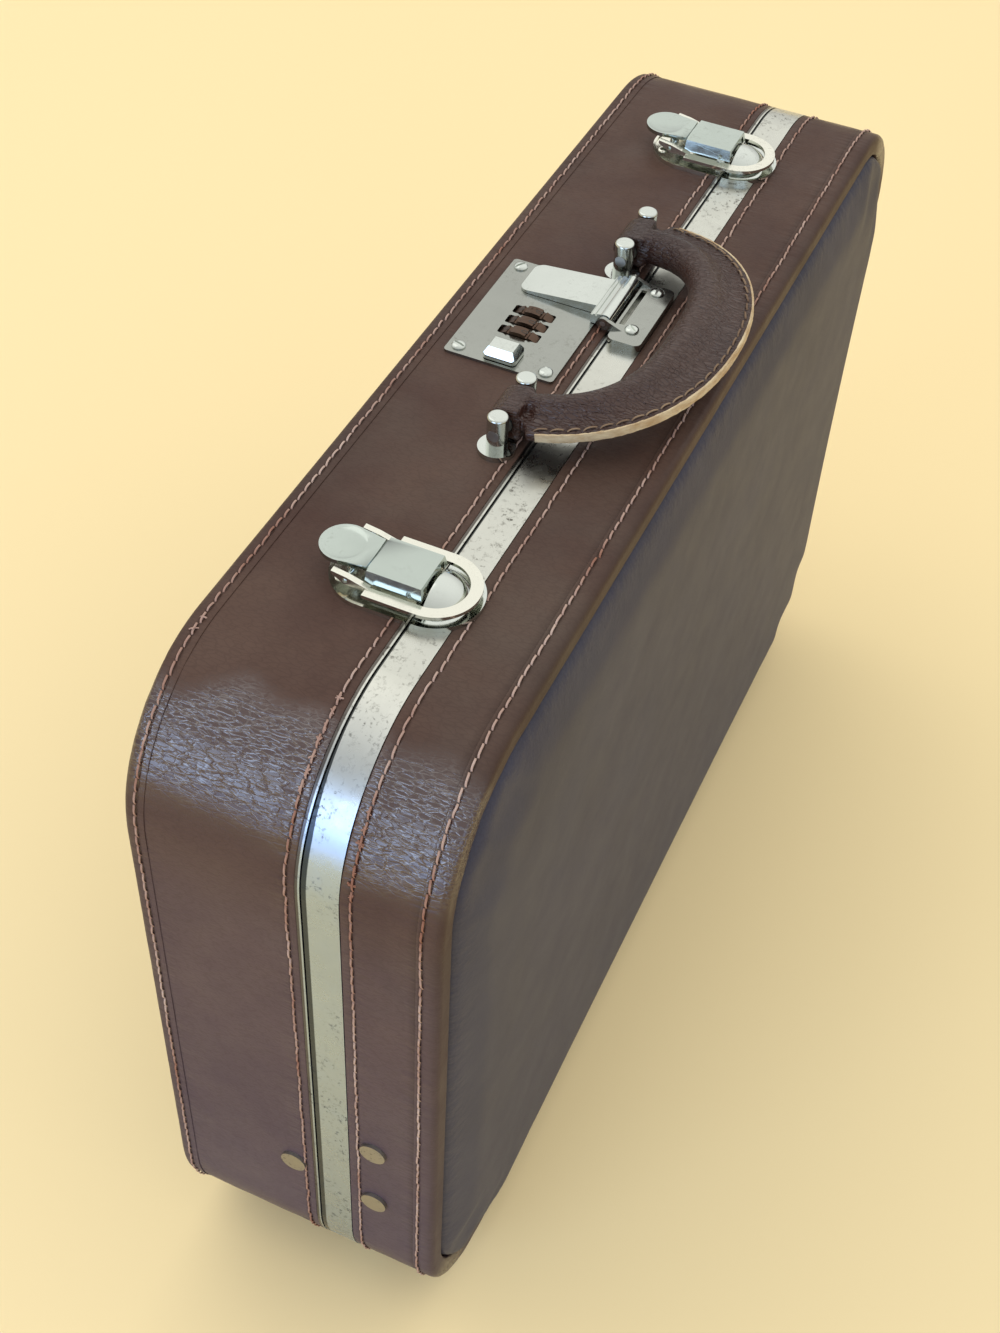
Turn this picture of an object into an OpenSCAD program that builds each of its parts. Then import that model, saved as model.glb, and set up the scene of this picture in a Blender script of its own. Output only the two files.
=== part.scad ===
// A hard briefcase: stitched leather on bent board, a metal frame at the seam, a lid hinged at the bottom,
// two draw latches, a number lock with a hasp, a stiff D handle on four posts and folding stays inside.
// Sizes are in millimetres. X runs along the case, +Y goes into the body towards its back, +Z is up.
// The case stands on four studs with their undersides at z = 0, and y = 0 is midway through its depth.
// The modules draw in the seam frame: y = 0 at the seam, the lid towards -Y, z = 0 under the bottom leather.

/* [Case] */
// Length of the case
case_l = 430; // [400:1:480]
// Height of the case, without studs and handle
case_h = 290; // [270:1:340]
// Radius of its four corners
corner_r = 49; // [40:1:60]
// Depth of the body, from the seam to its back rim
body_depth = 58.5; // [55:0.5:80]
// Depth of the lid, from the seam to its front rim
lid_depth = 44.5; // [42:0.5:70]
// Gap between the two metal lips at the seam
seam_gap = 0.6; // [0.4:0.1:1]

/* [Layers] */
// Thickness of the leather on the sides
leather_t = 1.2; // [0.8:0.1:1.6]
// Thickness of the bent board walls and the flat boards
board_t = 3; // [2.5:0.1:4]
// Thickness of the cloth lining
lining_t = 0.8; // [0.5:0.1:1.2]
// Width of the rounded rims round the two large faces
rim_w = 8; // [7:0.5:10]
// Radius of the edges of the rims
rim_r = 2.4; // [1.5:0.1:2.8]
// Height of the body rim above the back board
body_rim_h = 6; // [4:0.1:7]
// Height of the lid rim above the face board
lid_rim_h = 5.3; // [4:0.1:7]
// Thickness of the padded faces where they meet the rims
face_edge_t = 1.3; // [1:0.1:2]
// How far the padded lid face stands proud of its rim
lid_crown = 5; // [1:0.5:7]
// How far the padded back stays below its rim
back_drop = 0.3; // [0.1:0.1:1]
// Clearance round soft pieces
soft_gap = 0.3; // [0.2:0.05:0.5]

/* [Frame] */
// Thickness of the lips that meet at the seam
lip_t = 1.5; // [1.2:0.1:2]
// Width of the flat metal band round the lid
band_w = 12; // [8:0.5:14]
// Thickness of the tongue that enters the lid
tongue_t = 1.4; // [1:0.1:2]
// How far the tongue reaches past the seam into the lid
tongue_in = 5; // [3:0.5:7]
// How far the tongue reaches back into the body
tongue_back = 12; // [8:0.5:12]

/* [Studs and hinges] */
// Height of the studs that the case stands on
foot_h = 5; // [4.8:0.1:8]
// Diameter of the studs
foot_d = 12; // [9:0.5:14]
// Distance of the studs from the middle of the case
foot_x = 138; // [120:1:140]
// Distance of the body studs from the seam
foot_body_y = 38; // [30:1:42]
// Distance of the lid studs from the seam
foot_lid_y = 28; // [22:1:30]
// Distance of the two hinges from the middle of the case
hinge_x = 95; // [60:1:105]
// Length of the hinge barrels
hinge_w = 50; // [36:1:60]
// Diameter of the hinge barrels
barrel_d = 4; // [3.6:0.1:4]
// Diameter of the hinge pins
hinge_pin_d = 2; // [1.6:0.1:2.2]
// Thickness of the hinge leaves
leaf_t = 1; // [0.8:0.1:1.2]
// Reach of the hinge leaves from the seam
leaf_reach = 14; // [12:0.5:18]
// Play of every pin in its bore, on the radius
pin_play = 0.05; // [0.03:0.01:0.08]
// Gap between faces that slide past each other
side_gap = 0.3; // [0.2:0.05:0.4]
// Gap between two pieces that are sewn or pressed together
seat_gap = 0.03; // [0.02:0.01:0.05]

/* [Latches] */
// Distance of the two latches from the middle of the case
latch_x = 132.5; // [110:0.5:140]
// Width of a latch
latch_w = 30; // [30:0.5:34]
// Distance from the seam to the centre of the round end of the base plate
base_end = 16.5; // [14:0.5:20]
// Thickness of the latch plates
latch_t = 1; // [0.8:0.1:1.2]
// Height of the rim round the latch plates
latch_rim_h = 0.6; // [0.4:0.1:0.8]
// Diameter of the half-moon hook on the lid
hook_d = 19.6; // [17:0.2:19.6]
// Top of the hook above the leather
hook_h = 6.8; // [6:0.1:7.5]
// Width of the pull loop
loop_w = 28; // [27.6:0.2:29]
// Width of the strip that the loop is bent from
loop_bar = 3.8; // [3:0.1:4]
// Thickness of the loop
loop_t = 1.2; // [1:0.1:1.4]
// Height of the underside of the loop above the leather
loop_z = 3.8; // [3.4:0.1:4]
// Width of the lever box at its top
box_w = 16; // [15:0.5:16.4]
// Length of the lever box
box_l = 17.6; // [16:0.2:18]
// Height of the lever above the leather
lever_h = 9; // [8.8:0.1:10]
// Wall of the lever box
box_wall = 1.2; // [1:0.1:1.3]
// Length of the thumb tab beyond the box
tab_l = 18.8; // [16:0.2:22]
// Width of the thumb tab at its round end
tab_w = 16; // [14:0.5:18]
// Diameter of the latch pins
latch_pin_d = 1.6; // [1.2:0.1:1.8]

/* [Lock] */
// Length of the lock plate
lock_w = 59.5; // [56:0.5:64]
// Depth of the lock plate
lock_d = 40; // [38:0.5:42]
// Middle of the lock plate along the case
lock_x = 3.75; // [3:0.25:5]
// Middle of the lock plate behind the seam
lock_y = 27; // [26.5:0.5:28]
// Thickness of the lock plate
lock_t = 1; // [0.8:0.1:1.2]
// Depth of the lock case under the wall
lock_case_h = 19; // [18:0.5:24]
// Distance between the number wheels
dial_pitch = 6.3; // [5.5:0.1:6.6]
// Diameter of the number wheels
dial_d = 22; // [19:0.5:22]
// Width of a number wheel
dial_t = 4; // [3:0.1:4.2]
// Rise of the number wheels above the plate
dial_rise = 1.6; // [1.2:0.1:2]
// Length of the thumb slide across the case
slide_l = 12; // [10:0.5:13]
// Travel of the thumb slide
slide_travel = 3; // [2.6:0.1:3]
// Length of the hasp from its pin to its tip
hasp_l = 34.8; // [33.5:0.1:36]
// Width of the hasp arm
hasp_w = 17; // [15:0.5:18]
// Width of the hasp head and its barrel
hasp_head_w = 26; // [24:0.5:26]
// Diameter of the hasp barrel
hasp_barrel_d = 5.2; // [4.8:0.1:5.2]
// Diameter of the hasp pin
hasp_pin_d = 2; // [1.6:0.1:2.2]
// Length of the keeper plate on the lid
keeper_w = 36; // [36:0.5:42]
// Depth of the keeper plate
keeper_d = 12; // [10.5:0.1:13]
// Height of the keeper plate
keeper_h = 3; // [2.6:0.1:3.2]

/* [Handle] */
// Gap between the flanges of the posts and the ears of the keeper plate
post_gap = 0.1; // [0.1:0.1:4]
// Distance of the posts from the seam
post_y = 9.5; // [9:0.5:11]
// Height of the posts
post_h = 14.2; // [13.8:0.1:16]
// Diameter of the posts
post_d = 7; // [6.5:0.5:7.5]
// Distance between the two posts of one end
post_pitch = 22; // [21:0.5:22.5]
// Diameter of the post flanges
flange_d = 12.5; // [11:0.5:13]
// Height of the handle pins above the leather
pivot_h = 8; // [8:0.1:9]
// Diameter of the handle pins
handle_pin_d = 4; // [3.6:0.1:4.4]
// Angle of the resting handle above the level
grip_tilt = 7; // [5:0.5:12]
// Reach of the handle from its pins
grip_reach = 57; // [50:0.5:60]
// Width of the leather at the middle of the grip
grip_mid_w = 24; // [20:0.5:27]
// Width of the leather at the arms
grip_arm_w = 19.5; // [18:0.5:21]
// Thickness of the padded part of the grip
grip_t = 13; // [11:0.2:13]
// Thickness of the stitched edge of the grip
edge_t = 3.4; // [2.6:0.1:4]
// Width of the stitched edge of the grip
edge_w = 5; // [4:0.5:6]

/* [Stays] */
// Height of the body pivot of the stays
stay_body_z = 82; // [70:1:95]
// Distance of the body pivot from the seam
stay_body_y = 9.4; // [8:0.2:14]
// Height of the lid pivot of the stays
stay_lid_z = 95; // [85:1:105]
// Distance of the lid pivot from the seam
stay_lid_y = 21.8; // [18:0.2:26]
// Distance between the two rivets of a lid bracket
stay_rivet_pitch = 34; // [28:1:40]
// Length of the stay link on the body
stay_a = 100; // [96:1:104]
// Length of the stay link on the lid
stay_b = 90; // [86:1:94]
// Width of the stay links
link_w = 9; // [7:0.5:10]
// Thickness of the stay links
link_t = 1.5; // [1:0.1:1.6]
// Diameter of the rivets
rivet_d = 4; // [3:0.2:4.4]
// Diameter of the flat rivet heads
rivet_head_d = 9.4; // [8:0.2:11]
// Height of the flat rivet heads
rivet_head_h = 1.3; // [1:0.1:1.6]

/* [Hidden] */
$fn = 72;

// Overshoot of cutting bodies
cut = 1;
// Half lengths of the straight runs of the case outline
flat_x = case_l / 2 - corner_r;
flat_z = case_h / 2 - corner_r;
// Insets of the layers, measured from the outside
wall_in = leather_t + board_t;
room_in = wall_in + lining_t;
// Faces along Y
lip_y = seam_gap / 2;
wall_y = lip_y + lip_t;
body_board_y = body_depth - body_rim_h;
lid_board_y = lid_depth - lid_rim_h;
band_y = lip_y + band_w;
lid_lining_y = tongue_in + cut;
// The seam in the frame that is centred in the depth of the case
seam_y = (lid_depth + lid_crown - body_depth) / 2;
// Padded faces: steps of an outline corner, shrinking rings and the fullness of the crown
arc_steps = 7;
crown_rings = [1, 0.985, 0.965, 0.935, 0.89, 0.82, 0.72, 0.58, 0.38];
crown_power = 7;

// Hinge axis under the seam
hinge_z = -(barrel_d / 2 + side_gap);
knuckle_w = hinge_w / 4;

// Latch: lever pin and loop pin, measured from the seam and from the leather
lever_pin = [2.6, lever_h - 3];
loop_pin = [22, 5.5];
box_y0 = -1;
box_y1 = box_y0 + box_l;
box_foot_w = box_w + 2;
box_foot_z = 5;
tab_t = 1.5;
tab_neck_w = 12.6;
dish_d = 13;
dish_depth = 0.6;
ear_r = 1.5;
ear_t = 1.4;
ear_x = box_w / 2 - box_wall - side_gap - ear_t;
hook_y = -2.2;
hook_neck_h = 2.6;
loop_end_y = -2;
loop_shoulder = 15.3;
arm_x = box_foot_w / 2 + side_gap;
arm_w = 2;
lug_x = ear_x;
lug_t = 1.5;

// Lock: the window through the wall, the slots of the plate and the parts below it
plate_p = [lock_x - lock_w / 2, lock_y - lock_d / 2];
plate_q = [lock_x + lock_w / 2, lock_y + lock_d / 2];
plate_r = 1.4;
slot_r = 0.8;
window = [plate_p + [2.5, 8], plate_q - [3.5, 4.5]];
screw_d = 5;
screw_inset = 4;
dial_count = 3;
dial_x = lock_x - 3.95;
dial_y = lock_y + 0.5;
dial_z = lock_t + dial_rise - dial_d / 2;
dial_hub_d = 7;
axle_d = 3;
dial_slot_l = 15;
dial_slot_w = dial_t + 2 * side_gap;
case_wall = 1.2;
case_x = [plate_p[0], plate_q[0] - 1.5];
case_y = [tongue_back + 1, plate_q[1] - 2];
slide_x = plate_p[0] + 6;
slide_y = lock_y + 0.3;
slide_w = 9;
slide_h = 4.2;
slide_base_h = 1.4;
slide_slope = 1.6;
stem_w = 2.5;
stem_l = 5.5;
bolt_t = 2;
bolt_bar = [dial_y + dial_d / 2 + 1, dial_y + dial_d / 2 + 3.5];
bolt_foot = 1.3;
// Hasp: axis of its barrel and the hook under its arm
hasp_x = plate_q[0] - 10.5;
hasp_arm_x = plate_q[0] - 9;
hasp_axis = [3.2, 3.6];
hasp_wall = 1;
hasp_tip_h = 0.8;
arm_z = lock_t + 0.15;
head_y = 8.6;
lug_box = [[hasp_arm_x - 3, plate_q[1] - 13.5], [hasp_arm_x + 3.5, plate_q[1] - 11.5]];
lug_depth = 5;
nose_x = lug_box[0][0] + 2.5;
nose_w = 9;
keeper_x = hasp_x - 2.5;
keeper_y = -0.4;
keeper_wall = 1;
keeper_r = 2.5;
keeper_ear_t = 1.5;
ear_r_out = 2.2;
ear_gap = 0.2;
ear_back = -3.9;
ear_out = hasp_x + hasp_head_w / 2 + ear_gap + keeper_ear_t;

// Handle: posts, eyes and the two outlines of the leather
// The inner post stands so far out that its flange passes the ear of the keeper plate
post_in = ear_out + sqrt(pow(flange_d / 2 + post_gap, 2) - pow(post_y - hasp_axis[0] - ear_r_out, 2));
post_x = [post_in, post_in + post_pitch];
post_edge = 1;
flange_h = 2;
eye_r = pivot_h - flange_h - side_gap;
eye_x = [post_x[0] + post_d / 2 + side_gap, post_x[1] - post_d / 2 - side_gap];
bush_wall = 1.2;
end_s = eye_r + seat_gap;
neck_s = norm([post_d / 2, post_h - pivot_h]) + side_gap;
flare_s = neck_s + 2.4;
inner_a = eye_x[0] - 0.3;
outer_a = inner_a + grip_arm_w;
inner_b = grip_reach - grip_mid_w;
inner_n = 2.6;
outer_n = 2.2;
grip_sections = 34;
nose_steps = 5;
taper_steps = 5;

// Stays: planes of the links, counted inwards from the outside of the end walls, and the closed elbow
bracket_t = 1.5;
link_a_in = room_in + bracket_t + 1;
link_b_in = link_a_in + link_t + 1;
pivot_a = [stay_body_y, stay_body_z];
pivot_b = [-stay_lid_y, stay_lid_z];
elbow = meet(pivot_a, stay_a, pivot_b, stay_b);

// The point above the line p to q that lies r from p and s from q
function meet(p, r, q, s) = let (d = norm(q - p), u = (q - p) / d, t = (r * r - s * s + d * d) / (2 * d))
    p + u * t + [-u[1], u[0]] * sqrt(r * r - t * t) * (u[0] < 0 ? -1 : 1);

// Points round the case outline at an inset, as x and height
function outline_points(inset) = [for (c = [0:3]) for (i = [0:arc_steps])
    let (a = 90 * (c + i / arc_steps), sx = c == 0 || c == 3 ? 1 : -1, sz = c < 2 ? 1 : -1)
    [sx * flat_x + (corner_r - inset) * cos(a), sz * flat_z + (corner_r - inset) * sin(a)]];

// Point of a superellipse with half axes a and b
function curve(a, b, n, t) = [a * sign(cos(t)) * pow(abs(cos(t)), 2 / n), b * pow(sin(t), 2 / n)];

// Angle at which that curve has run up to s
function start(b, n, s) = asin(pow(s / b, n / 2));

// Side faces between rings of m points, two triangles each
function ring_faces(rings, m) = [for (k = [0:rings - 2]) for (i = [0:m - 1])
    let (j = (i + 1) % m) for (f = [[0, 1, 2], [0, 2, 3]])
    let (q = [k * m + i, k * m + j, (k + 1) * m + j, (k + 1) * m + i]) [q[f[0]], q[f[1]], q[f[2]]]];

module placed() {
    translate([0, seam_y, foot_h]) children();
}

// On the top of the case, x along it
module on_top(x) {
    placed() translate([x, 0, case_h]) children();
}

// Draws a piece at both ends of the case
module both_ends() {
    children();
    mirror([1, 0, 0]) children();
}

// Outline of the case at an inset, drawn as x and height
module outline(inset) {
    translate([0, case_h / 2]) {
        square([case_l - 2 * inset, 2 * flat_z], center = true);
        square([2 * flat_x, case_h - 2 * inset], center = true);
        for (sx = [-1, 1], sz = [-1, 1])
            translate([sx * flat_x, sz * flat_z]) circle(r = corner_r - inset);
    }
}

// Full slab of the case outline between two depths
module slab(inset, y0, y1) {
    translate([0, y1, 0]) rotate([90, 0, 0]) linear_extrude(y1 - y0) outline(inset);
}

// Ring of the case outline between two insets and two depths
module band(inset0, inset1, y0, y1) {
    translate([0, y1, 0]) rotate([90, 0, 0]) linear_extrude(y1 - y0) difference() {
        outline(inset0);
        outline(inset1);
    }
}

// Extrudes a shape drawn in y and z along X
module along_x(x0, x1) {
    translate([x0, 0, 0]) rotate([90, 0, 90]) linear_extrude(x1 - x0) children();
}

// Extrudes a shape drawn in x and z along Y
module along_y(y0, y1) {
    translate([0, y1, 0]) rotate([90, 0, 0]) linear_extrude(y1 - y0) children();
}

// Round bar along X through the point p, given as y and z
module rod(p, d, x0, x1) {
    translate([x0, p[0], p[1]]) rotate([0, 90, 0]) cylinder(d = d, h = x1 - x0);
}

// Rectangle between two corner points
module rect(p, q) {
    translate(p) square(q - p);
}

// Rectangle with round corners, from p to q
module round_rect(p, q, r) {
    rect(p + [r, 0], q - [r, 0]);
    rect(p + [0, r], q - [0, r]);
    for (x = [p[0] + r, q[0] - r], y = [p[1] + r, q[1] - r]) translate([x, y]) circle(r = r);
}

// Strip with round ends
module strip(p, q, w) {
    d = q - p;
    translate(p) rotate(atan2(d[1], d[0])) {
        translate([0, -w / 2]) square([norm(d), w]);
        circle(d = w);
        translate([norm(d), 0]) circle(d = w);
    }
}

// Sweeps a section round the case outline: first coordinate inwards, second along +Y
module ring_sweep() {
    starts = [[-case_l / 2, corner_r], [-flat_x, case_h], [case_l / 2, case_h - corner_r], [flat_x, 0]];
    for (k = [0:3])
        translate([starts[k][0], 0, starts[k][1]]) rotate([0, 90 * k, 0])
            linear_extrude(k % 2 == 0 ? 2 * flat_z : 2 * flat_x) children();
    corners = [[flat_x, corner_r], [-flat_x, corner_r], [-flat_x, case_h - corner_r], [flat_x, case_h - corner_r]];
    for (k = [0:3])
        translate([corners[k][0], 0, corners[k][1]]) rotate([0, 90 * k, 0]) rotate([-90, 0, 0])
            rotate_extrude(angle = 90) translate([corner_r, 0]) mirror([1, 0]) children();
}

// Section of a rim with rounded edges
module rim_section(h) {
    square([rim_w, h - rim_r]);
    translate([rim_r, 0]) square([rim_w - 2 * rim_r, h]);
    for (u = [rim_r, rim_w - rim_r]) translate([u, h - rim_r]) circle(r = rim_r);
}

// Padded face: a flat back at y = 0 and a crown towards +Y
module padded_face(crown) {
    base = outline_points(rim_w + soft_gap);
    m = len(base);
    function ring(s, y) = [for (p = base) [p[0] * s, y, p[1] * s + case_h / 2]];
    heights = [for (s = crown_rings) face_edge_t + crown * (1 - pow(s, crown_power))];
    rings = concat([ring(1, 0)], [for (k = [0:len(crown_rings) - 1]) ring(crown_rings[k], heights[k])]);
    last = (len(rings) - 1) * m;
    polyhedron(points = [for (r = rings) each r], faces = concat([[for (i = [m - 1:-1:0]) i]],
        ring_faces(len(rings), m), [[for (i = [0:m - 1]) last + i]]));
}

// Holes for rivets through the end walls
module rivet_holes(points) {
    both_ends() for (p = points)
        rod(p, rivet_d + 2 * pin_play, case_l / 2 - room_in - tongue_t - cut, case_l / 2 + cut);
}

// Opening for the lock through the top wall
module lock_window() {
    translate([0, 0, case_h - room_in - cut]) linear_extrude(room_in + 2 * cut) rect(window[0], window[1]);
}

body_rivets = [pivot_a];
lid_rivets = [for (s = [-1, 1]) pivot_b + [0, s * stay_rivet_pitch / 2]];

// Case body

module body_wall() {
    color("tan") placed() difference() {
        band(leather_t, wall_in, wall_y, body_board_y);
        rivet_holes(body_rivets);
        lock_window();
    }
}

module body_back_board() {
    color("tan") placed() slab(wall_in, body_board_y - board_t, body_board_y);
}

module body_side_leather() {
    color([0.27, 0.13, 0.1]) placed() difference() {
        band(0, leather_t, wall_y, body_board_y);
        rivet_holes(body_rivets);
        lock_window();
    }
}

module body_back_leather() {
    color([0.33, 0.2, 0.16]) placed() translate([0, body_board_y, 0])
        padded_face(body_rim_h - face_edge_t - back_drop);
}

module body_rim() {
    color([0.25, 0.12, 0.09]) placed() translate([0, body_board_y, 0]) ring_sweep() rim_section(body_rim_h);
}

module body_frame() {
    color("silver") placed() difference() {
        union() {
            band(0, room_in + tongue_t, lip_y, wall_y);
            band(room_in, room_in + tongue_t, -tongue_in, tongue_back);
        }
        rivet_holes(body_rivets);
    }
}

module body_lining() {
    color([0.75, 0.66, 0.5]) placed() difference() {
        slab(wall_in, wall_y, body_board_y - board_t);
        slab(room_in, wall_y - cut, body_board_y - board_t - lining_t);
        rivet_holes(body_rivets);
        lock_window();
    }
}

// Stud with a flat underside and a rounded edge
module stud() {
    mirror([0, 0, 1]) rotate_extrude() intersection() {
        square([foot_d / 2, foot_h]);
        union() {
            square([foot_d / 2, foot_h / 2]);
            square([foot_d / 2 - foot_h / 2, foot_h]);
            translate([foot_d / 2 - foot_h / 2, foot_h / 2]) circle(d = foot_h);
        }
    }
}

module body_studs() {
    color("silver") placed() both_ends() translate([foot_x, foot_body_y, 0]) stud();
}

// Lid

module lid_wall() {
    color("tan") placed() difference() {
        band(leather_t, wall_in, -lid_board_y, -wall_y);
        rivet_holes(lid_rivets);
    }
}

module lid_face_board() {
    color("tan") placed() slab(wall_in, -lid_board_y, board_t - lid_board_y);
}

module lid_side_leather() {
    color([0.27, 0.13, 0.1]) placed() difference() {
        band(0, leather_t, -lid_board_y, -band_y);
        rivet_holes(lid_rivets);
    }
}

module lid_face_leather() {
    color([0.36, 0.25, 0.2]) placed() translate([0, -lid_board_y, 0]) mirror([0, 1, 0])
        padded_face(lid_rim_h - face_edge_t + lid_crown);
}

module lid_rim() {
    color([0.25, 0.12, 0.09]) placed() translate([0, -lid_board_y, 0]) mirror([0, 1, 0])
        ring_sweep() rim_section(lid_rim_h);
}

module lid_frame() {
    color("silver") placed() {
        band(0, wall_in, -wall_y, -lip_y);
        band(0, leather_t, -band_y, -wall_y);
    }
}

module lid_lining() {
    color([0.75, 0.66, 0.5]) placed() difference() {
        slab(wall_in, board_t - lid_board_y, -lid_lining_y);
        slab(room_in, board_t + lining_t - lid_board_y, cut - lid_lining_y);
        rivet_holes(lid_rivets);
    }
}

module lid_studs() {
    color("silver") placed() both_ends() translate([foot_x, -foot_lid_y, 0]) stud();
}

// Hinges

// Leaf towards +Y with the knuckles that lie in the ranges xs, as distances from the middle of the hinge
module leaf(xs) {
    rivet_r = 1.8;
    difference() {
        union() {
            translate([0, 0, -leaf_t]) linear_extrude(leaf_t) {
                rect([-hinge_w / 2, barrel_d / 2 + side_gap], [hinge_w / 2, leaf_reach]);
                for (x = xs) rect([x[0], 0.8], [x[1], leaf_reach]);
            }
            for (x = xs) rod([0, hinge_z], barrel_d, x[0], x[1]);
            for (x = [-1, 0, 1]) translate([x * hinge_w / 3, leaf_reach - 4, -leaf_t]) intersection() {
                sphere(r = rivet_r);
                translate([0, 0, -rivet_r / 2]) cube([2 * rivet_r, 2 * rivet_r, rivet_r], center = true);
            }
        }
        rod([0, hinge_z], hinge_pin_d + 2 * pin_play, -hinge_w, hinge_w);
    }
}

module hinge_body_leaves() {
    color("silver") placed() both_ends() translate([hinge_x, 0, 0])
        leaf([[-hinge_w / 2, -knuckle_w], [knuckle_w, hinge_w / 2]]);
}

module hinge_lid_leaves() {
    color("silver") placed() both_ends() translate([hinge_x, 0, 0]) mirror([0, 1, 0])
        leaf([[side_gap - knuckle_w, knuckle_w - side_gap]]);
}

module hinge_pins() {
    color("gray") placed() both_ends()
        rod([0, hinge_z], hinge_pin_d, hinge_x - hinge_w / 2, hinge_x + hinge_w / 2);
}

// Latches, drawn at the seam with z = 0 on the leather

// Plate that is straight from y0 to y1 and ends in a half circle
module half_round(w, y0, y1) {
    rect([-w / 2, y0], [w / 2, y1]);
    intersection() {
        translate([0, y1]) circle(d = w);
        rect([-w, y1], [w, y1 + w]);
    }
}

module rimmed_plate(y0, y1) {
    rim = 0.9;
    linear_extrude(latch_t) half_round(latch_w, y0, y1);
    linear_extrude(latch_t + latch_rim_h) difference() {
        half_round(latch_w, y0, y1);
        half_round(latch_w - 2 * rim, y0 - cut, y1);
    }
}

// Dome-headed rivet on a plate
module dome(x, y, z, d) {
    translate([x, y, z]) rotate_extrude() intersection() {
        translate([0, -d / 2]) circle(d = 1.5 * d);
        square([d / 2, d]);
    }
}

module latch_base() {
    rimmed_plate(lip_y + 0.3, base_end);
    for (x = [-6, 6]) dome(x, base_end + 9.5, latch_t, 4);
    for (s = [-1, 1])
        along_x(s > 0 ? ear_x : -ear_x - ear_t, s > 0 ? ear_x + ear_t : -ear_x) {
            translate(lever_pin) circle(r = ear_r);
            rect([lever_pin[0] - ear_r, latch_t / 2], lever_pin + [ear_r, 0]);
        }
    rod(lever_pin, latch_pin_d, -box_w / 2, box_w / 2);
}

module latch_catch() {
    mirror([0, 1, 0]) rimmed_plate(lip_y + 0.3, -loop_end_y);
    dome_r = (pow(hook_d / 2, 2) + pow(hook_h - hook_neck_h, 2)) / (2 * (hook_h - hook_neck_h));
    translate([0, hook_y, 0]) intersection() {
        union() {
            cylinder(d = hook_d - 1, h = hook_neck_h);
            intersection() {
                translate([0, 0, hook_h - dome_r]) sphere(r = dome_r);
                translate([0, 0, hook_neck_h - 0.6]) cylinder(d = hook_d, h = hook_h);
            }
        }
        translate([-latch_w, -latch_w, latch_t / 2]) cube([2 * latch_w, latch_w, hook_h]);
    }
}

// Box with sloping sides, grown inwards by g
module lever_box(g) {
    intersection() {
        along_y(box_y0 + g - cut, box_y1 - g + cut) polygon([[g - box_foot_w / 2, box_foot_z],
            [box_foot_w / 2 - g, box_foot_z], [box_w / 2 - g, lever_h - g], [g - box_w / 2, lever_h - g]]);
        along_x(-latch_w, latch_w) polygon([[box_y0 - 0.6 + g, box_foot_z], [box_y1 + 0.2 - g, box_foot_z],
            [box_y1 - g, lever_h - g], [box_y0 + g, lever_h - g]]);
    }
}

module lever() {
    tab_y = box_y1 + tab_l - tab_w / 2;
    difference() {
        union() {
            difference() {
                lever_box(0);
                translate([0, 0, -0.01]) lever_box(box_wall);
                translate([0, 0, box_foot_z - cut]) linear_extrude(cut + 0.01)
                    rect([box_wall - box_foot_w / 2, box_y0 - 0.6 + box_wall],
                        [box_foot_w / 2 - box_wall, box_y1 - box_wall]);
                for (s = [-1, 1]) translate([s * (ear_x + ear_t / 2), box_y0, box_foot_z - cut])
                    linear_extrude(lever_h - box_wall - box_foot_z + cut)
                        square([ear_t + 2 * side_gap, 3 * box_wall], center = true);
            }
            translate([0, 0, lever_h - tab_t]) linear_extrude(tab_t) {
                polygon([[-tab_neck_w / 2, box_y1 - 0.2], [tab_neck_w / 2, box_y1 - 0.2],
                    [tab_w / 2, tab_y], [-tab_w / 2, tab_y]]);
                translate([0, tab_y]) circle(d = tab_w);
            }
            for (s = [-1, 1])
                along_x(s > 0 ? lug_x : -lug_x - lug_t, s > 0 ? lug_x + lug_t : -lug_x) {
                    translate(loop_pin) circle(r = ear_r);
                    rect(loop_pin - [ear_r, 0], [loop_pin[0] + ear_r, lever_h - tab_t / 2]);
                }
            rod(loop_pin, latch_pin_d, -arm_x - arm_w, arm_x + arm_w);
        }
        rod(lever_pin, latch_pin_d + 2 * pin_play, -latch_w, latch_w);
        dish_r = (pow(dish_d / 2, 2) + pow(dish_depth, 2)) / (2 * dish_depth);
        translate([0, tab_y, lever_h - dish_depth + dish_r]) sphere(r = dish_r, $fn = 160);
        translate([-tab_w / 2, box_y1 + 0.3, lever_h - tab_t / 2]) cube([tab_w, 0.5, tab_t]);
    }
}

module pull_loop() {
    inner = loop_w - 2 * loop_bar;
    translate([0, 0, loop_z]) linear_extrude(loop_t) difference() {
        mirror([0, 1]) half_round(loop_w, -loop_shoulder, -loop_end_y);
        mirror([0, 1]) half_round(inner, -loop_shoulder - cut, -loop_end_y);
    }
    tip = loop_pin + [4.5, 1];
    for (s = [-1, 1]) difference() {
        along_x(s > 0 ? arm_x : -arm_x - arm_w, s > 0 ? arm_x + arm_w : -arm_x)
            polygon([[loop_shoulder - cut, loop_z], [loop_pin[0], loop_pin[1] - 1.5], tip,
                tip + [0, 1.2], [loop_pin[0] - 0.5, loop_pin[1] + 1.5], [loop_shoulder - cut, loop_z + loop_t]]);
        rod(loop_pin, latch_pin_d + 2 * pin_play, -latch_w, latch_w);
    }
}

module latch_base_left() {
    color("silver") on_top(-latch_x) latch_base();
}

module latch_base_right() {
    color("silver") on_top(latch_x) latch_base();
}

module latch_catch_left() {
    color("silver") on_top(-latch_x) latch_catch();
}

module latch_catch_right() {
    color("silver") on_top(latch_x) latch_catch();
}

module lever_left() {
    color("gainsboro") on_top(-latch_x) lever();
}

module lever_right() {
    color("gainsboro") on_top(latch_x) lever();
}

module pull_loop_left() {
    color("lightgray") on_top(-latch_x) pull_loop();
}

module pull_loop_right() {
    color("lightgray") on_top(latch_x) pull_loop();
}

// Lock

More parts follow.
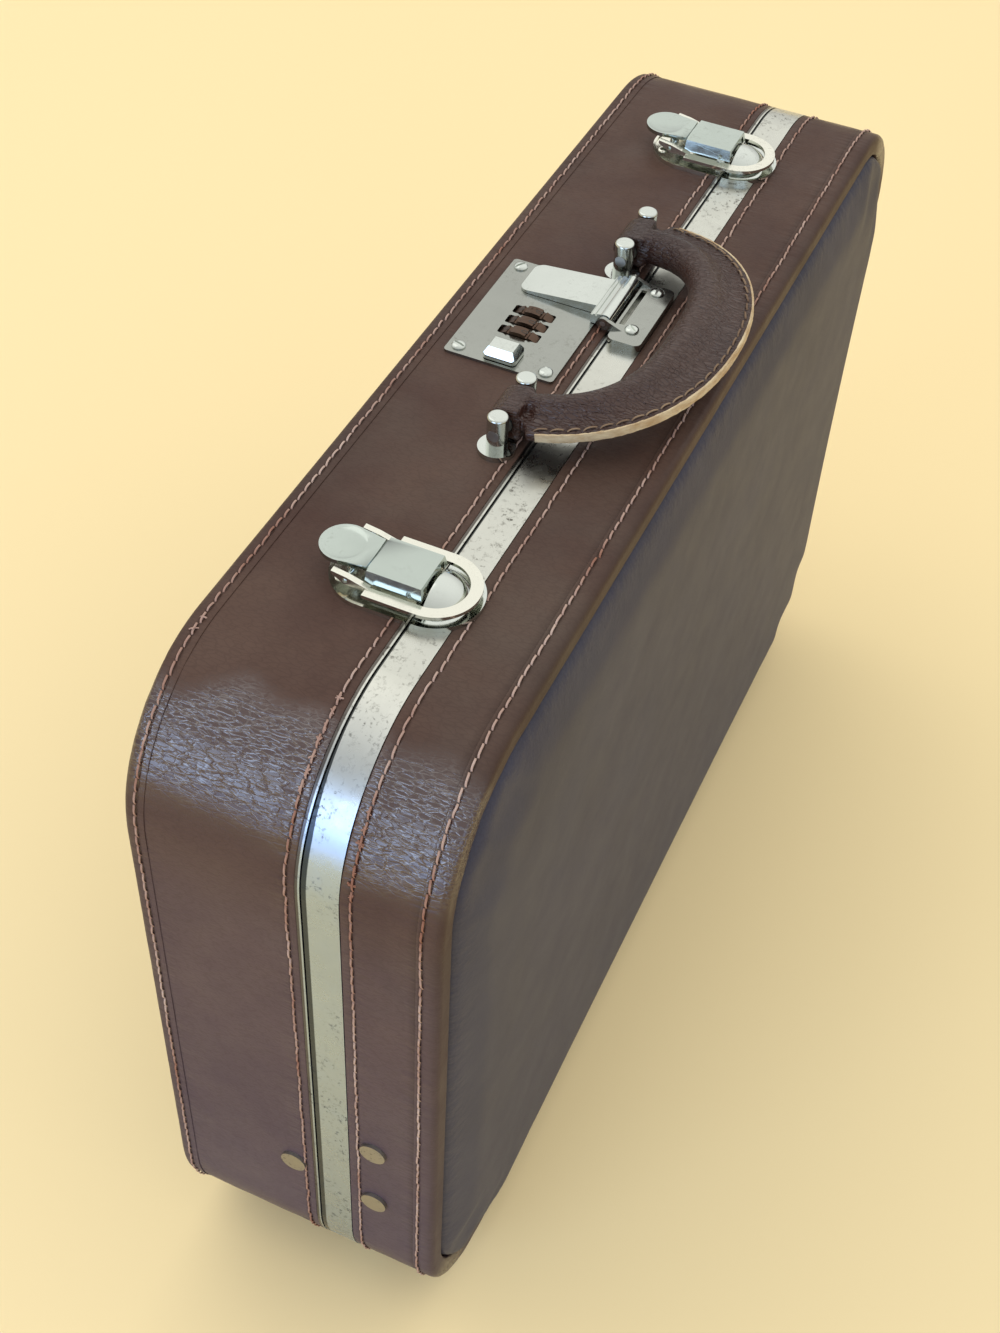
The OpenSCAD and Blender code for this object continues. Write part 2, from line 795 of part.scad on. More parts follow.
module lock_plate() {
    color("silver") on_top(0) linear_extrude(lock_t) difference() {
        round_rect(plate_p, plate_q, plate_r);
        for (k = [0:dial_count - 1]) {
            x = dial_x + (k - 1) * dial_pitch;
            round_rect([x - dial_slot_w / 2, dial_y - dial_slot_l / 2],
                [x + dial_slot_w / 2, dial_y + dial_slot_l / 2], slot_r);
        }
        rect([slide_x - slide_travel - side_gap, slide_y - stem_l / 2 - side_gap],
            [slide_x + stem_w + side_gap, slide_y + stem_l / 2 + side_gap]);
        rect(lug_box[0] - [0.4, 0.5], lug_box[1] + [0.4, 1.5]);
    }
}

// Screws in three corners; the hasp lies over the fourth
module lock_screws() {
    x = [plate_p[0] + screw_inset, plate_q[0] - screw_inset];
    y = [plate_p[1] + screw_inset, plate_q[1] - screw_inset];
    color("gainsboro") on_top(0) for (p = [[x[0], y[0]], [x[0], y[1]], [x[1], y[1]]])
        dome(p[0], p[1], lock_t, screw_d);
}

module lock_case() {
    color("dimgray") on_top(0) difference() {
        translate([0, 0, -room_in - lock_case_h]) linear_extrude(lock_case_h)
            rect([case_x[0], case_y[0]], [case_x[1], case_y[1]]);
        translate([0, 0, case_wall - room_in - lock_case_h]) linear_extrude(lock_case_h)
            rect([case_x[0] + case_wall, case_y[0] + case_wall], [case_x[1] - case_wall, case_y[1] - case_wall]);
        rod([dial_y, dial_z], axle_d + 2 * pin_play, case_x[0] - cut, case_x[1] + cut);
    }
}

module dial_axle() {
    color("gray") on_top(0) rod([dial_y, dial_z], axle_d, case_x[0], case_x[1]);
}

// Number wheel with a notch between each pair of its ten numbers
module dial(k) {
    notches = 10;
    notch_d = 1.4;
    color([0.35, 0.24, 0.16]) on_top(dial_x + (k - 1) * dial_pitch) difference() {
        union() {
            rod([dial_y, dial_z], dial_d, -dial_t / 2, dial_t / 2);
            rod([dial_y, dial_z], dial_hub_d, -dial_pitch / 2 + 0.1, dial_pitch / 2 - 0.1);
        }
        rod([dial_y, dial_z], axle_d + 2 * pin_play, -dial_pitch, dial_pitch);
        for (i = [0:notches - 1])
            let (a = 360 * (i + 0.5) / notches)
            rod([dial_y + dial_d / 2 * sin(a), dial_z + dial_d / 2 * cos(a)], notch_d, -dial_t, dial_t);
    }
}

module dial_1() {
    dial(2);
}

module dial_2() {
    dial(1);
}

module dial_3() {
    dial(0);
}

// Section of the thumb slide across a width w: straight at its foot, then sloping in
module slide_section(w) {
    polygon([[-w / 2, 0], [w / 2, 0], [w / 2, slide_base_h], [w / 2 - slide_slope, slide_h],
        [slide_slope - w / 2, slide_h], [-w / 2, slide_base_h]]);
}

module lock_slide() {
    color("gainsboro") on_top(0) {
        translate([slide_x, slide_y, lock_t + side_gap]) intersection() {
            along_y(-slide_l, slide_l) slide_section(slide_w);
            along_x(-slide_w, slide_w) slide_section(slide_l);
            linear_extrude(slide_h) round_rect([-slide_w / 2, -slide_l / 2], [slide_w / 2, slide_l / 2], 1.5);
        }
        translate([0, 0, -side_gap]) linear_extrude(lock_t + 3 * side_gap)
            rect([slide_x, slide_y - stem_l / 2], [slide_x + stem_w, slide_y + stem_l / 2]);
    }
}

// Flat bolt under the plate, from the thumb slide round the wheels to the hook of the hasp
module lock_bolt() {
    nose_y = [lug_box[0][1] - 1, lug_box[1][1] + 1];
    leg_x = [nose_x - nose_w, nose_x - 4];
    color("gray") on_top(0) translate([0, 0, -side_gap - bolt_t]) linear_extrude(bolt_t) {
        rect([slide_x, slide_y - stem_l / 2], [slide_x + stem_w + bolt_foot, bolt_bar[1]]);
        rect([slide_x, bolt_bar[0]], [leg_x[1], bolt_bar[1]]);
        rect([leg_x[0], nose_y[0]], [leg_x[1], bolt_bar[1]]);
        rect([leg_x[0], nose_y[0]], [nose_x, nose_y[1]]);
    }
}

module keeper_ears() {
    for (x = [ear_out - keeper_ear_t, 2 * hasp_x - ear_out])
        along_x(x, x + keeper_ear_t) {
            translate(hasp_axis) circle(r = ear_r_out);
            polygon([[ear_back, keeper_h - 1.6], [keeper_y, keeper_h - 1.6], [hasp_axis[0], 1.5],
                hasp_axis + [0, ear_r_out], [ear_back, keeper_h]]);
        }
}

module keeper_plate() {
    p = [keeper_x - keeper_w / 2, keeper_y - keeper_d];
    q = [keeper_x + keeper_w / 2, keeper_y];
    color("silver") on_top(0) difference() {
        union() {
            difference() {
                linear_extrude(keeper_h) round_rect(p, q, keeper_r);
                translate([0, 0, -keeper_wall]) linear_extrude(keeper_h) round_rect(
                    p + [keeper_wall, keeper_wall], q - [keeper_wall, keeper_wall], keeper_r - keeper_wall);
                translate([0, 0, -cut]) linear_extrude(keeper_h + 2 * cut)
                    rect([hasp_x - 11, keeper_y - 3], [hasp_x + 11, keeper_y - 1]);
            }
            keeper_ears();
        }
        rod(hasp_axis, hasp_pin_d + 2 * pin_play, -case_l, case_l);
    }
}

module keeper_screws() {
    x = [keeper_x - keeper_w / 2 + 8, keeper_x + keeper_w / 2 - screw_inset];
    color("gainsboro") on_top(0) for (p = x) dome(p, keeper_y - keeper_d / 2 - 0.4, keeper_h, screw_d);
}

module hasp_pin() {
    color("gray") on_top(0) rod(hasp_axis, hasp_pin_d, 2 * hasp_x - ear_out, ear_out);
}

// Side profile of the hasp arm, thinned by g
module arm_profile(g) {
    tip = hasp_axis[0] + hasp_l;
    polygon([[tip - g, arm_z - cut * sign(g)], [tip - g, arm_z + hasp_tip_h - g / 2],
        [head_y + 0.4, 4.6 - g], [hasp_axis[0], 5.4 - g], [hasp_axis[0], 3 - 3 * sign(g)],
        [6.5, arm_z - cut * sign(g)]]);
}

module hasp() {
    tip = hasp_axis[0] + hasp_l;
    arm = [hasp_arm_x - hasp_w / 2, hasp_arm_x + hasp_w / 2];
    head = [hasp_x - hasp_head_w / 2 + 0.5, hasp_x + hasp_head_w / 2 - 0.5];
    color("gainsboro") on_top(0) difference() {
        union() {
            difference() {
                intersection() {
                    along_x(arm[0], arm[1]) arm_profile(0);
                    linear_extrude(2 * keeper_h) round_rect([arm[0], -tip], [arm[1], tip], 3.5);
                }
                along_x(arm[0] + hasp_wall, arm[1] - hasp_wall) intersection() {
                    arm_profile(hasp_wall);
                    rect([head_y + 0.4, 0], [tip, 2 * keeper_h]);
                }
            }
            along_x(head[0], head[1])
                polygon([[hasp_axis[0], arm_z + 0.15], [head_y, arm_z + 0.15], [head_y, 4.7], [hasp_axis[0], 6]]);
            rod(hasp_axis, hasp_barrel_d, hasp_x - hasp_head_w / 2, hasp_x + hasp_head_w / 2);
            difference() {
                translate([0, 0, -lug_depth]) linear_extrude(lug_depth + 2) rect(lug_box[0], lug_box[1]);
                translate([lug_box[0][0] - cut, 0, -side_gap * 2 - bolt_t])
                    cube([nose_x + side_gap + cut - lug_box[0][0], case_l, bolt_t + 2 * side_gap]);
            }
        }
        rod(hasp_axis, hasp_pin_d + 2 * pin_play, 0, case_l);
        for (y = [head_y - 2.2, head_y - 0.7]) translate([0, y, 4.5]) cube([case_l, 0.5, 1.2]);
    }
}

// Handle

module handle_posts() {
    color("silver") on_top(0) both_ends() for (x = post_x) translate([x, post_y, 0]) difference() {
        rotate_extrude() {
            square([flange_d / 2, flange_h]);
            square([post_d / 2, post_h - post_edge]);
            square([post_d / 2 - post_edge, post_h]);
            translate([post_d / 2 - post_edge, post_h - post_edge]) circle(r = post_edge);
        }
        rod([0, pivot_h], handle_pin_d + 2 * pin_play, -post_d, post_d);
    }
}

module handle_pins() {
    color("gray") on_top(0) both_ends()
        rod([post_y, pivot_h], handle_pin_d, post_x[0] - post_d / 2, post_x[1] + post_d / 2);
}

// Draws in the plane of the handle: x along the case, -Y away from the pins, z square to that plane
module in_grip() {
    on_top(0) translate([0, post_y, pivot_h]) rotate([-grip_tilt, 0, 0]) children();
}

// Half thickness of the leather at the distances u from its inner edge, over a width w
function half_section(w) = let (r = grip_t / 2, e = edge_t / 2)
    concat([for (i = [1:nose_steps]) [r - r * cos(90 * i / nose_steps), r * sin(90 * i / nose_steps)]],
        [for (i = [1:taper_steps]) let (t = i / taper_steps)
            [r + (w - edge_w - r) * t, e + (r - e) * (0.5 + 0.5 * cos(180 * t))]],
        [[w - 0.5, e], [w, e - 0.5]]);

// The grip is sewn narrow where it passes between the posts, and is full beyond their reach
module handle_grip() {
    ti = start(inner_b, inner_n, flare_s);
    to = start(grip_reach, outer_n, flare_s);
    function section(p, q) = let (w = norm(q - p), d = (q - p) / w, top = half_section(w),
        loop = concat([[0, 0]], top, [for (i = [len(top) - 1:-1:0]) [top[i][0], -top[i][1]]]))
        [for (c = loop) [p[0] + d[0] * c[0], -p[1] - d[1] * c[0], c[1]]];
    function neck(side, s) = section([side * eye_x[0], s], [side * eye_x[1], s]);
    rings = concat([neck(1, end_s), neck(1, neck_s)],
        [for (k = [0:grip_sections]) let (f = k / grip_sections)
            section(curve(inner_a, inner_b, inner_n, ti + (180 - 2 * ti) * f),
                curve(outer_a, grip_reach, outer_n, to + (180 - 2 * to) * f))],
        [neck(-1, neck_s), neck(-1, end_s)]);
    m = len(rings[0]);
    last = (len(rings) - 1) * m;
    color([0.24, 0.11, 0.08]) in_grip() polyhedron(points = [for (r = rings) each r],
        faces = concat([[for (i = [m - 1:-1:0]) i]], ring_faces(len(rings), m), [[for (i = [0:m - 1]) last + i]]));
}

module handle_ends() {
    color([0.24, 0.11, 0.08]) in_grip() both_ends() difference() {
        along_x(eye_x[0], eye_x[1]) {
            circle(r = eye_r);
            rect([-eye_r, -eye_r], [0, eye_r]);
        }
        rod([0, 0], handle_pin_d + 2 * pin_play + 2 * bush_wall, 0, case_l);
    }
}

module handle_bushes() {
    color("gray") in_grip() both_ends() difference() {
        rod([0, 0], handle_pin_d + 2 * pin_play + 2 * bush_wall, eye_x[0], eye_x[1]);
        rod([0, 0], handle_pin_d + 2 * pin_play, 0, case_l);
    }
}

// Stays

// Rivet through an end wall at p, with a flat head outside and its shank reaching inwards to an inset
module stay_rivet(p, inset) {
    rod(p, rivet_d, case_l / 2 - inset, case_l / 2);
    rod(p, rivet_head_d, case_l / 2, case_l / 2 + rivet_head_h);
}

// Collar that keeps a link on its pivot, from one inset to another
module collar(p, inset0, inset1) {
    rod(p, rivet_d + 3, case_l / 2 - inset1, case_l / 2 - inset0);
}

module stay_body_rivets() {
    color("silver") placed() both_ends() {
        stay_rivet(pivot_a, link_a_in + link_t + side_gap);
        collar(pivot_a, room_in + tongue_t, link_a_in - 0.1);
        collar(pivot_a, link_a_in + link_t + 0.1, link_b_in - side_gap);
    }
}

module stay_lid_brackets() {
    color("silver") placed() both_ends() {
        for (p = lid_rivets) stay_rivet(p, room_in + bracket_t);
        along_x(case_l / 2 - room_in - bracket_t, case_l / 2 - room_in)
            strip(lid_rivets[0], lid_rivets[1], link_w + 3);
        rod(pivot_b, rivet_d, case_l / 2 - link_b_in - link_t - 1, case_l / 2 - room_in - bracket_t / 2);
        collar(pivot_b, room_in + bracket_t / 2, link_b_in - 0.1);
        collar(pivot_b, link_b_in + link_t + 0.1, link_b_in + link_t + 1);
    }
}

// Link between two points with an eye at each end
module link(p, q, inset) {
    difference() {
        along_x(case_l / 2 - inset - link_t, case_l / 2 - inset) strip(p, q, link_w);
        for (c = [p, q]) rod(c, rivet_d + 2 * pin_play, 0, case_l);
    }
}

module stay_body_link() {
    link(pivot_a, elbow, link_a_in);
    rod(elbow, rivet_d + 2 * pin_play, case_l / 2 - link_a_in - link_t - side_gap, case_l / 2 - link_a_in);
    rod(elbow, rivet_d + 3, case_l / 2 - link_a_in - 0.1, case_l / 2 - link_a_in + side_gap);
}

module stay_body_link_left() {
    color("gray") placed() mirror([1, 0, 0]) stay_body_link();
}

module stay_body_link_right() {
    color("gray") placed() stay_body_link();
}

module stay_lid_link_left() {
    color("gray") placed() mirror([1, 0, 0]) link(pivot_b, elbow, link_b_in);
}

module stay_lid_link_right() {
    color("gray") placed() link(pivot_b, elbow, link_b_in);
}

body_wall();
body_back_board();
body_side_leather();
body_back_leather();
body_rim();
body_frame();
body_lining();
body_studs();
lid_wall();
lid_face_board();
lid_side_leather();
lid_face_leather();
lid_rim();
lid_frame();
lid_lining();
lid_studs();
hinge_body_leaves();
hinge_lid_leaves();
hinge_pins();
latch_base_left();
latch_base_right();
latch_catch_left();
latch_catch_right();
lever_left();
lever_right();
pull_loop_left();
pull_loop_right();
lock_plate();
lock_screws();
lock_case();
dial_axle();
dial_1();
dial_2();
dial_3();
lock_slide();
lock_bolt();
keeper_plate();
keeper_screws();
hasp_pin();
hasp();
handle_posts();
handle_pins();
handle_grip();
handle_ends();
handle_bushes();
stay_body_rivets();
stay_lid_brackets();
stay_body_link_left();
stay_body_link_right();
stay_lid_link_left();
stay_lid_link_right();
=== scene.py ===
# %% [markdown]
# # A leather briefcase in Blender
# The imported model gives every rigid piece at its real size: frame, hinges, latches, lock, handle posts.
# This notebook dresses it. Leather, padding, thread and small marks are modelled here with Blender's own
# tools, and each metal piece gets a finish. All sizes are in metres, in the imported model's frame.

# %% Load the fixed frame
import bpy
import math
import random
from mathutils import Matrix, Vector, noise


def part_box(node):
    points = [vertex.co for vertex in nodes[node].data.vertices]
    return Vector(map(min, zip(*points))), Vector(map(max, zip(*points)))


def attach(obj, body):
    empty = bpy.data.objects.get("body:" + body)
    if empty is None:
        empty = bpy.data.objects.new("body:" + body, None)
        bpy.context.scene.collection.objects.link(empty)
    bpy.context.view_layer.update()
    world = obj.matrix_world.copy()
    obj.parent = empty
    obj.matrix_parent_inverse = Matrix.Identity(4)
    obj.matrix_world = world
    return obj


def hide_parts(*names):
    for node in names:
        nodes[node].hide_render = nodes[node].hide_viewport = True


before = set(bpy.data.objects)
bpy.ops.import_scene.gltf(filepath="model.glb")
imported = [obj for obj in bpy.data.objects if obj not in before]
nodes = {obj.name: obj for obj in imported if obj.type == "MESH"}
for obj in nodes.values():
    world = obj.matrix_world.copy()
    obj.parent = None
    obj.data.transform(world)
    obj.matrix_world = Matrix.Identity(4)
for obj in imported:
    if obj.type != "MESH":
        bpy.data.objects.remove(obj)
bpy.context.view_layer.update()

# %% [markdown]
# ## Measures taken from the frame
# A dressed piece has to sit on what carries it, so its size comes from the solid it covers. The seam is
# the natural zero: everything on the body lies behind it and everything on the lid in front of it.

# %% Seam, outline and layer sizes
rim_low, rim_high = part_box("body_rim")
bottom, top = rim_low.z, rim_high.z
half_l = rim_high.x
half_h = (top - bottom) / 2
mid_z = (top + bottom) / 2
corner_r = 0.049
leather_t = 0.0012
seam_gap = 0.0003
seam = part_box("lid_frame")[1].y + seam_gap
body_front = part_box("body_side_leather")[0].y
body_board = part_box("body_rim")[0].y
body_back = rim_high.y
lid_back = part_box("lid_side_leather")[1].y
lid_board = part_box("lid_rim")[1].y
lid_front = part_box("lid_rim")[0].y
print("seam at", round(seam, 4), "body", round(body_back - seam, 4), "lid", round(seam - lid_front, 4))

# %% [markdown]
# ## Small helpers
# Operators act on whatever is selected, and the loaded frame comes in selected, so each step starts from
# a clean selection. A finished piece keeps its object at the origin with its place in its mesh.

# %% Selection and finishing helpers
def nothing():
    """Leave edit mode and deselect everything."""
    if bpy.context.object and bpy.context.object.mode != "OBJECT":
        bpy.ops.object.mode_set(mode="OBJECT")
    bpy.ops.object.select_all(action="DESELECT")


def only(obj):
    """Select one object and make it the active one."""
    nothing()
    obj.select_set(True)
    bpy.context.view_layer.objects.active = obj


def named(name):
    """Name the piece that was just added, and its mesh."""
    obj = bpy.context.object
    obj.name = name
    obj.data.name = name
    return obj


def apply_all(obj):
    """Apply every modifier of a piece in order."""
    only(obj)
    for modifier in list(obj.modifiers):
        bpy.ops.object.modifier_apply(modifier=modifier.name)


def settle(obj):
    """Put an object's place into its mesh."""
    only(obj)
    bpy.ops.object.transform_apply(location=True, rotation=True, scale=True)


def edit_all(obj):
    """Enter edit mode with the whole mesh selected."""
    only(obj)
    bpy.ops.object.mode_set(mode="EDIT")
    bpy.ops.mesh.select_all(action="SELECT")


def push(x, y, z):
    """Extrude what is selected in edit mode and move it."""
    bpy.ops.mesh.extrude_region_move(TRANSFORM_OT_translate={"value": (x, y, z)})


def tidy_mesh(obj):
    """Merge doubles and turn the faces outwards."""
    edit_all(obj)
    bpy.ops.mesh.remove_doubles(threshold=0.00002)
    bpy.ops.mesh.normals_make_consistent(inside=False)
    bpy.ops.object.mode_set(mode="OBJECT")


def soften(obj, levels=1):
    """Round a piece's form by subdivision."""
    smooth = obj.modifiers.new("soft", "SUBSURF")
    smooth.levels = smooth.render_levels = levels
    apply_all(obj)


def shade(obj, degrees=180):
    """Shade smooth; edges sharper than the angle stay crisp."""
    only(obj)
    if degrees < 180:
        bpy.ops.object.shade_smooth_by_angle(angle=math.radians(degrees))
    else:
        bpy.ops.object.shade_smooth()


def join(parts):
    """Join several objects into the first one."""
    nothing()
    for part in parts:
        part.select_set(True)
    bpy.context.view_layer.objects.active = parts[0]
    bpy.ops.object.join()
    return bpy.context.object


def in_scene(name, data):
    """A new object with the given data, linked into the scene."""
    obj = bpy.data.objects.new(name, data)
    bpy.context.scene.collection.objects.link(obj)
    return obj


def copy_of(*names):
    """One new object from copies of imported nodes, with their doubles merged."""
    joined = join([in_scene(name + "_copy", nodes[name].data.copy()) for name in names])
    tidy_mesh(joined)
    return joined


def set_at(spot, *axes):
    """The matrix that moves the origin to a spot and turns X, Y and Z to three axes."""
    return Matrix.Translation(spot) @ Matrix(axes).transposed().to_4x4()


def cut_with(piece, cutter):
    """Take a cutter away from a piece with a Boolean, then delete the cutter."""
    cut = piece.modifiers.new("opening", "BOOLEAN")
    cut.object = cutter
    cut.solver = "EXACT"
    apply_all(piece)
    bpy.data.objects.remove(cutter)


def cut_box(piece, low, high):
    """Cut a box-shaped opening."""
    nothing()
    bpy.ops.mesh.primitive_cube_add(size=1, location=(Vector(low) + Vector(high)) / 2)
    cutter = named("cutter")
    cutter.scale = Vector(high) - Vector(low)
    settle(cutter)
    cut_with(piece, cutter)


def dress(obj, body, slot, material, *replaced):
    """Give a finished piece its finish, its body and the solids it stands for."""
    obj.data.materials.clear()
    obj.data.materials.append(material)
    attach(obj, body)
    if replaced:
        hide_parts(*replaced)
    print(obj.name, "faces:", len(obj.data.polygons))


# %% [markdown]
# ## Node helpers
# A material is a small chain of nodes. These helpers add a node with its values and feed its sockets, so
# each finish below reads as a list of what it is made of.

# %% Material helpers
def blank(name, color, rough, metal=0.0):
    """A Principled material with its plain values on the shader's own sockets."""
    mat = bpy.data.materials.new(name)
    mat.use_nodes = True
    shader = mat.node_tree.nodes["Principled BSDF"]
    shader.inputs["Base Color"].default_value = (*color, 1)
    shader.inputs["Roughness"].default_value = rough
    shader.inputs["Metallic"].default_value = metal
    return mat, mat.node_tree, shader


def add(tree, kind, values=None, **settings):
    """Add a node, set its options and its input values."""
    node = tree.nodes.new("ShaderNode" + kind)
    for key, value in settings.items():
        setattr(node, key, value)
    for key, value in (values or {}).items():
        node.inputs[key].default_value = value
    return node


def feed(tree, socket, value):
    """Give an input a link, a colour or a number."""
    if hasattr(value, "node"):
        tree.links.new(value, socket)
    else:
        socket.default_value = (*value, 1) if hasattr(value, "__len__") else value


def place(tree, stretch=(1, 1, 1), turn=(0, 0, 0)):
    """Object coordinates in metres, turned, and stretched by a factor along each axis."""
    mapping = add(tree, "Mapping", {"Scale": stretch, "Rotation": turn})
    tree.links.new(add(tree, "TexCoord").outputs["Object"], mapping.inputs["Vector"])
    return mapping.outputs["Vector"]


def noise_at(tree, vector, scale, detail=3, rough=0.55, warp=0.0):
    """Noise of a given scale; 1 means clouds about a metre across."""
    values = {"Scale": scale, "Detail": detail, "Roughness": rough, "Distortion": warp}
    node = add(tree, "TexNoise", values)
    tree.links.new(vector, node.inputs["Vector"])
    return node.outputs["Fac"]


def ramp(tree, factor, stops):
    """A colour ramp; stops are (position, colour or grey value)."""
    node = add(tree, "ValToRGB")
    elements = node.color_ramp.elements
    while len(elements) < len(stops):
        elements.new(0.5)
    for element, (position, color) in zip(elements, stops):
        element.position = position
        element.color = (*color, 1) if hasattr(color, "__len__") else (color, color, color, 1)
    tree.links.new(factor, node.inputs["Fac"])
    return node.outputs["Color"]


def mix(tree, factor, a, b, blend="MIX"):
    """Mix two colours; each may be a socket or a colour, and the factor a socket or a number."""
    node = add(tree, "Mix", data_type="RGBA", blend_type=blend)
    for socket, value in ((node.inputs[0], factor), (node.inputs[6], a), (node.inputs[7], b)):
        feed(tree, socket, value)
    return node.outputs[2]


def math_at(tree, kind, a, b=0.0):
    """One step of arithmetic on sockets or numbers."""
    node = add(tree, "Math", operation=kind)
    feed(tree, node.inputs[0], a)
    feed(tree, node.inputs[1], b)
    return node.outputs[0]


def times(tree, a, b):
    return math_at(tree, "MULTIPLY", a, b)


def plus(tree, a, b):
    return math_at(tree, "ADD", a, b)


def minus(tree, a, b):
    return math_at(tree, "SUBTRACT", a, b)


def bump(tree, height, depth, strength=1.0, under=None):
    """Bump of a given depth in metres, on top of another bump if there is one."""
    node = add(tree, "Bump", {"Strength": strength, "Distance": depth})
    tree.links.new(height, node.inputs["Height"])
    if under:
        tree.links.new(under, node.inputs["Normal"])
    return node.outputs["Normal"]


# %% [markdown]
# ## Leather
# The sides are grained cowhide with a glazed finish. On the real case the grain shows as short creases
# about a millimetre apart, the hide is worn dull towards the bottom, dark in the groove of each seam, and
# wrinkled and glossy on the corners. The borders of drawn-out Voronoi cells give the creases and the
# wrinkles, and noise gives the colour; the dark of the seam grooves and the creases is painted shade.
# Three painted attributes say where this happens: groove, pucker and gloss.

# %% Leather finishes
def leather(name, light, dark, dull, worn, rough, fine, depth, coat, shine, uneven, wrinkled=False):
    """Grained hide; where gloss is painted a wrinkled one stands up in ridges, others dip into creases."""
    mat, tree, shader = blank(name, light, rough)
    link = tree.links.new
    flat = place(tree)
    groove, pucker, gloss = [add(tree, "Attribute", attribute_name=painted).outputs["Fac"]
                             for painted in ("groove", "pucker", "gloss")]
    # Colour: two tones in soft clouds under a dull bloom, more worn towards the bottom
    clouds = ramp(tree, noise_at(tree, flat, 16, 5, 0.6, 0.4), [(0.36, 0), (0.66, 1)])
    bloom = ramp(tree, noise_at(tree, flat, 11, 4, 0.6), [(0.50, 0), (0.78, 0.45)])
    tone = mix(tree, bloom, mix(tree, clouds, dark, light), dull)
    axes = add(tree, "SeparateXYZ")
    link(flat, axes.inputs["Vector"])
    share_of_top = math_at(tree, "DIVIDE", axes.outputs["Z"], top)
    low_down = ramp(tree, share_of_top, [(0.10, 0.60), (0.75, 0.28), (0.92, 0)])
    tone = mix(tree, low_down, tone, worn)
    # Borders of small and larger cells, drawn out across the strip, turned a little and bent by noise
    turned = place(tree, (1, 0.32, 1), (0.45, 0, 0.45))
    bend = add(tree, "TexNoise", {"Scale": 240, "Detail": 3, "Roughness": 0.6})
    link(turned, bend.inputs["Vector"])
    bent = add(tree, "Mix", {0: 0.0024}, data_type="VECTOR")
    link(turned, bent.inputs[4])
    link(bend.outputs["Color"], bent.inputs[5])
    borders = []
    for scale, width in ((fine, 0.13), (fine * 0.52, 0.08)):
        cells = add(tree, "TexVoronoi", {"Scale": scale}, feature="DISTANCE_TO_EDGE")
        link(bent.outputs[1], cells.inputs["Vector"])
        borders.append(ramp(tree, cells.outputs["Distance"], [(0.0, 0), (width, 1)]))
    lines = minus(tree, 1, borders[0])
    # Painted shade darkens the seam grooves, the rim edges and the creases, and the polished corners are
    # darker
    tone = mix(tree, times(tree, groove, 0.45), tone, tuple(c * 0.4 for c in dark))
    tone = mix(tree, times(tree, gloss, coat * 0.8), tone, (0.040, 0.012, 0.012))
    tone = mix(tree, times(tree, lines, 0.22), tone, tuple(c * 0.5 for c in dark))
    link(tone, shader.inputs["Base Color"])
    broken = ramp(tree, noise_at(tree, flat, 60, 4), [(0.3, rough - uneven), (0.7, rough + uneven)])
    link(broken, shader.inputs["Roughness"])
    # Height, from the puckers of the seams down to the pores; each line is one layer
    grain = times(tree, borders[0], plus(tree, times(tree, gloss, -0.85 if wrinkled else 0.75), 0.25))
    puckers = noise_at(tree, place(tree, (190, 14, 190)), 1, 2)
    height = bump(tree, times(tree, puckers, pucker), 0.0010)
    height = bump(tree, noise_at(tree, flat, 75, 3), depth * 5, 0.5, height)
    height = bump(tree, times(tree, borders[1], gloss), depth * 1.2, 0.8, height)
    height = bump(tree, grain, depth, 0.9, height)
    height = bump(tree, noise_at(tree, flat, 1500, 2), depth * 0.35, 0.5, height)
    link(height, shader.inputs["Normal"])
    link(height, shader.inputs["Coat Normal"])
    # The glaze shines where gloss is painted, most of all on the crests of the grain
    crests = lines if wrinkled else borders[0]
    ridges = plus(tree, times(tree, crests, coat * 0.38), coat * 0.47)
    link(times(tree, gloss, ridges), shader.inputs["Coat Weight"])
    for key, value in (("Coat Roughness", 0.17), ("Coat IOR", 2.25), ("Specular IOR Level", shine)):
        shader.inputs[key].default_value = value
    return mat


side_leather = leather(
    "side_leather", light=(0.103, 0.058, 0.041), dark=(0.069, 0.034, 0.025), dull=(0.104, 0.088, 0.068),
    worn=(0.109, 0.086, 0.130), rough=0.50, fine=800, depth=0.00012, coat=1.0, shine=0.18, uneven=0.07,
    wrinkled=True)
face_leather = leather(
    "face_leather", light=(0.060, 0.057, 0.080), dark=(0.048, 0.045, 0.062), dull=(0.073, 0.074, 0.100),
    worn=(0.073, 0.072, 0.104), rough=0.50, fine=900, depth=0.00006, coat=0.0, shine=0.16, uneven=0.03)
handle_leather = leather(
    "handle_leather", light=(0.056, 0.022, 0.012), dark=(0.030, 0.010, 0.006), dull=(0.058, 0.034, 0.021),
    worn=(0.058, 0.034, 0.021), rough=0.40, fine=820, depth=0.00016, coat=0.22, shine=0.20, uneven=0.08)
print("leathers:", side_leather.name, face_leather.name, handle_leather.name)

# %% [markdown]
# ## Thread, raw hide, cloth and card
# Waxed linen thread has faded unevenly from orange to tan. The edge of the handle is cut hide, pale and
# fibrous. Inside there is a plain woven cloth over bent card.

# %% Thread, raw edge, lining and board
def plain_fibre(name, light, dark, scale, depth, stretch=(1, 1, 1), rough=0.85):
    """Two tones in patches, and a bump of fine fibres."""
    mat, tree, shader = blank(name, light, rough)
    spot = ramp(tree, noise_at(tree, place(tree, stretch), scale, 5, 0.65), [(0.35, 0), (0.65, 1)])
    tree.links.new(mix(tree, spot, dark, light), shader.inputs["Base Color"])
    fine = noise_at(tree, place(tree, stretch), scale * 30, 2)
    tree.links.new(bump(tree, fine, depth), shader.inputs["Normal"])
    return mat


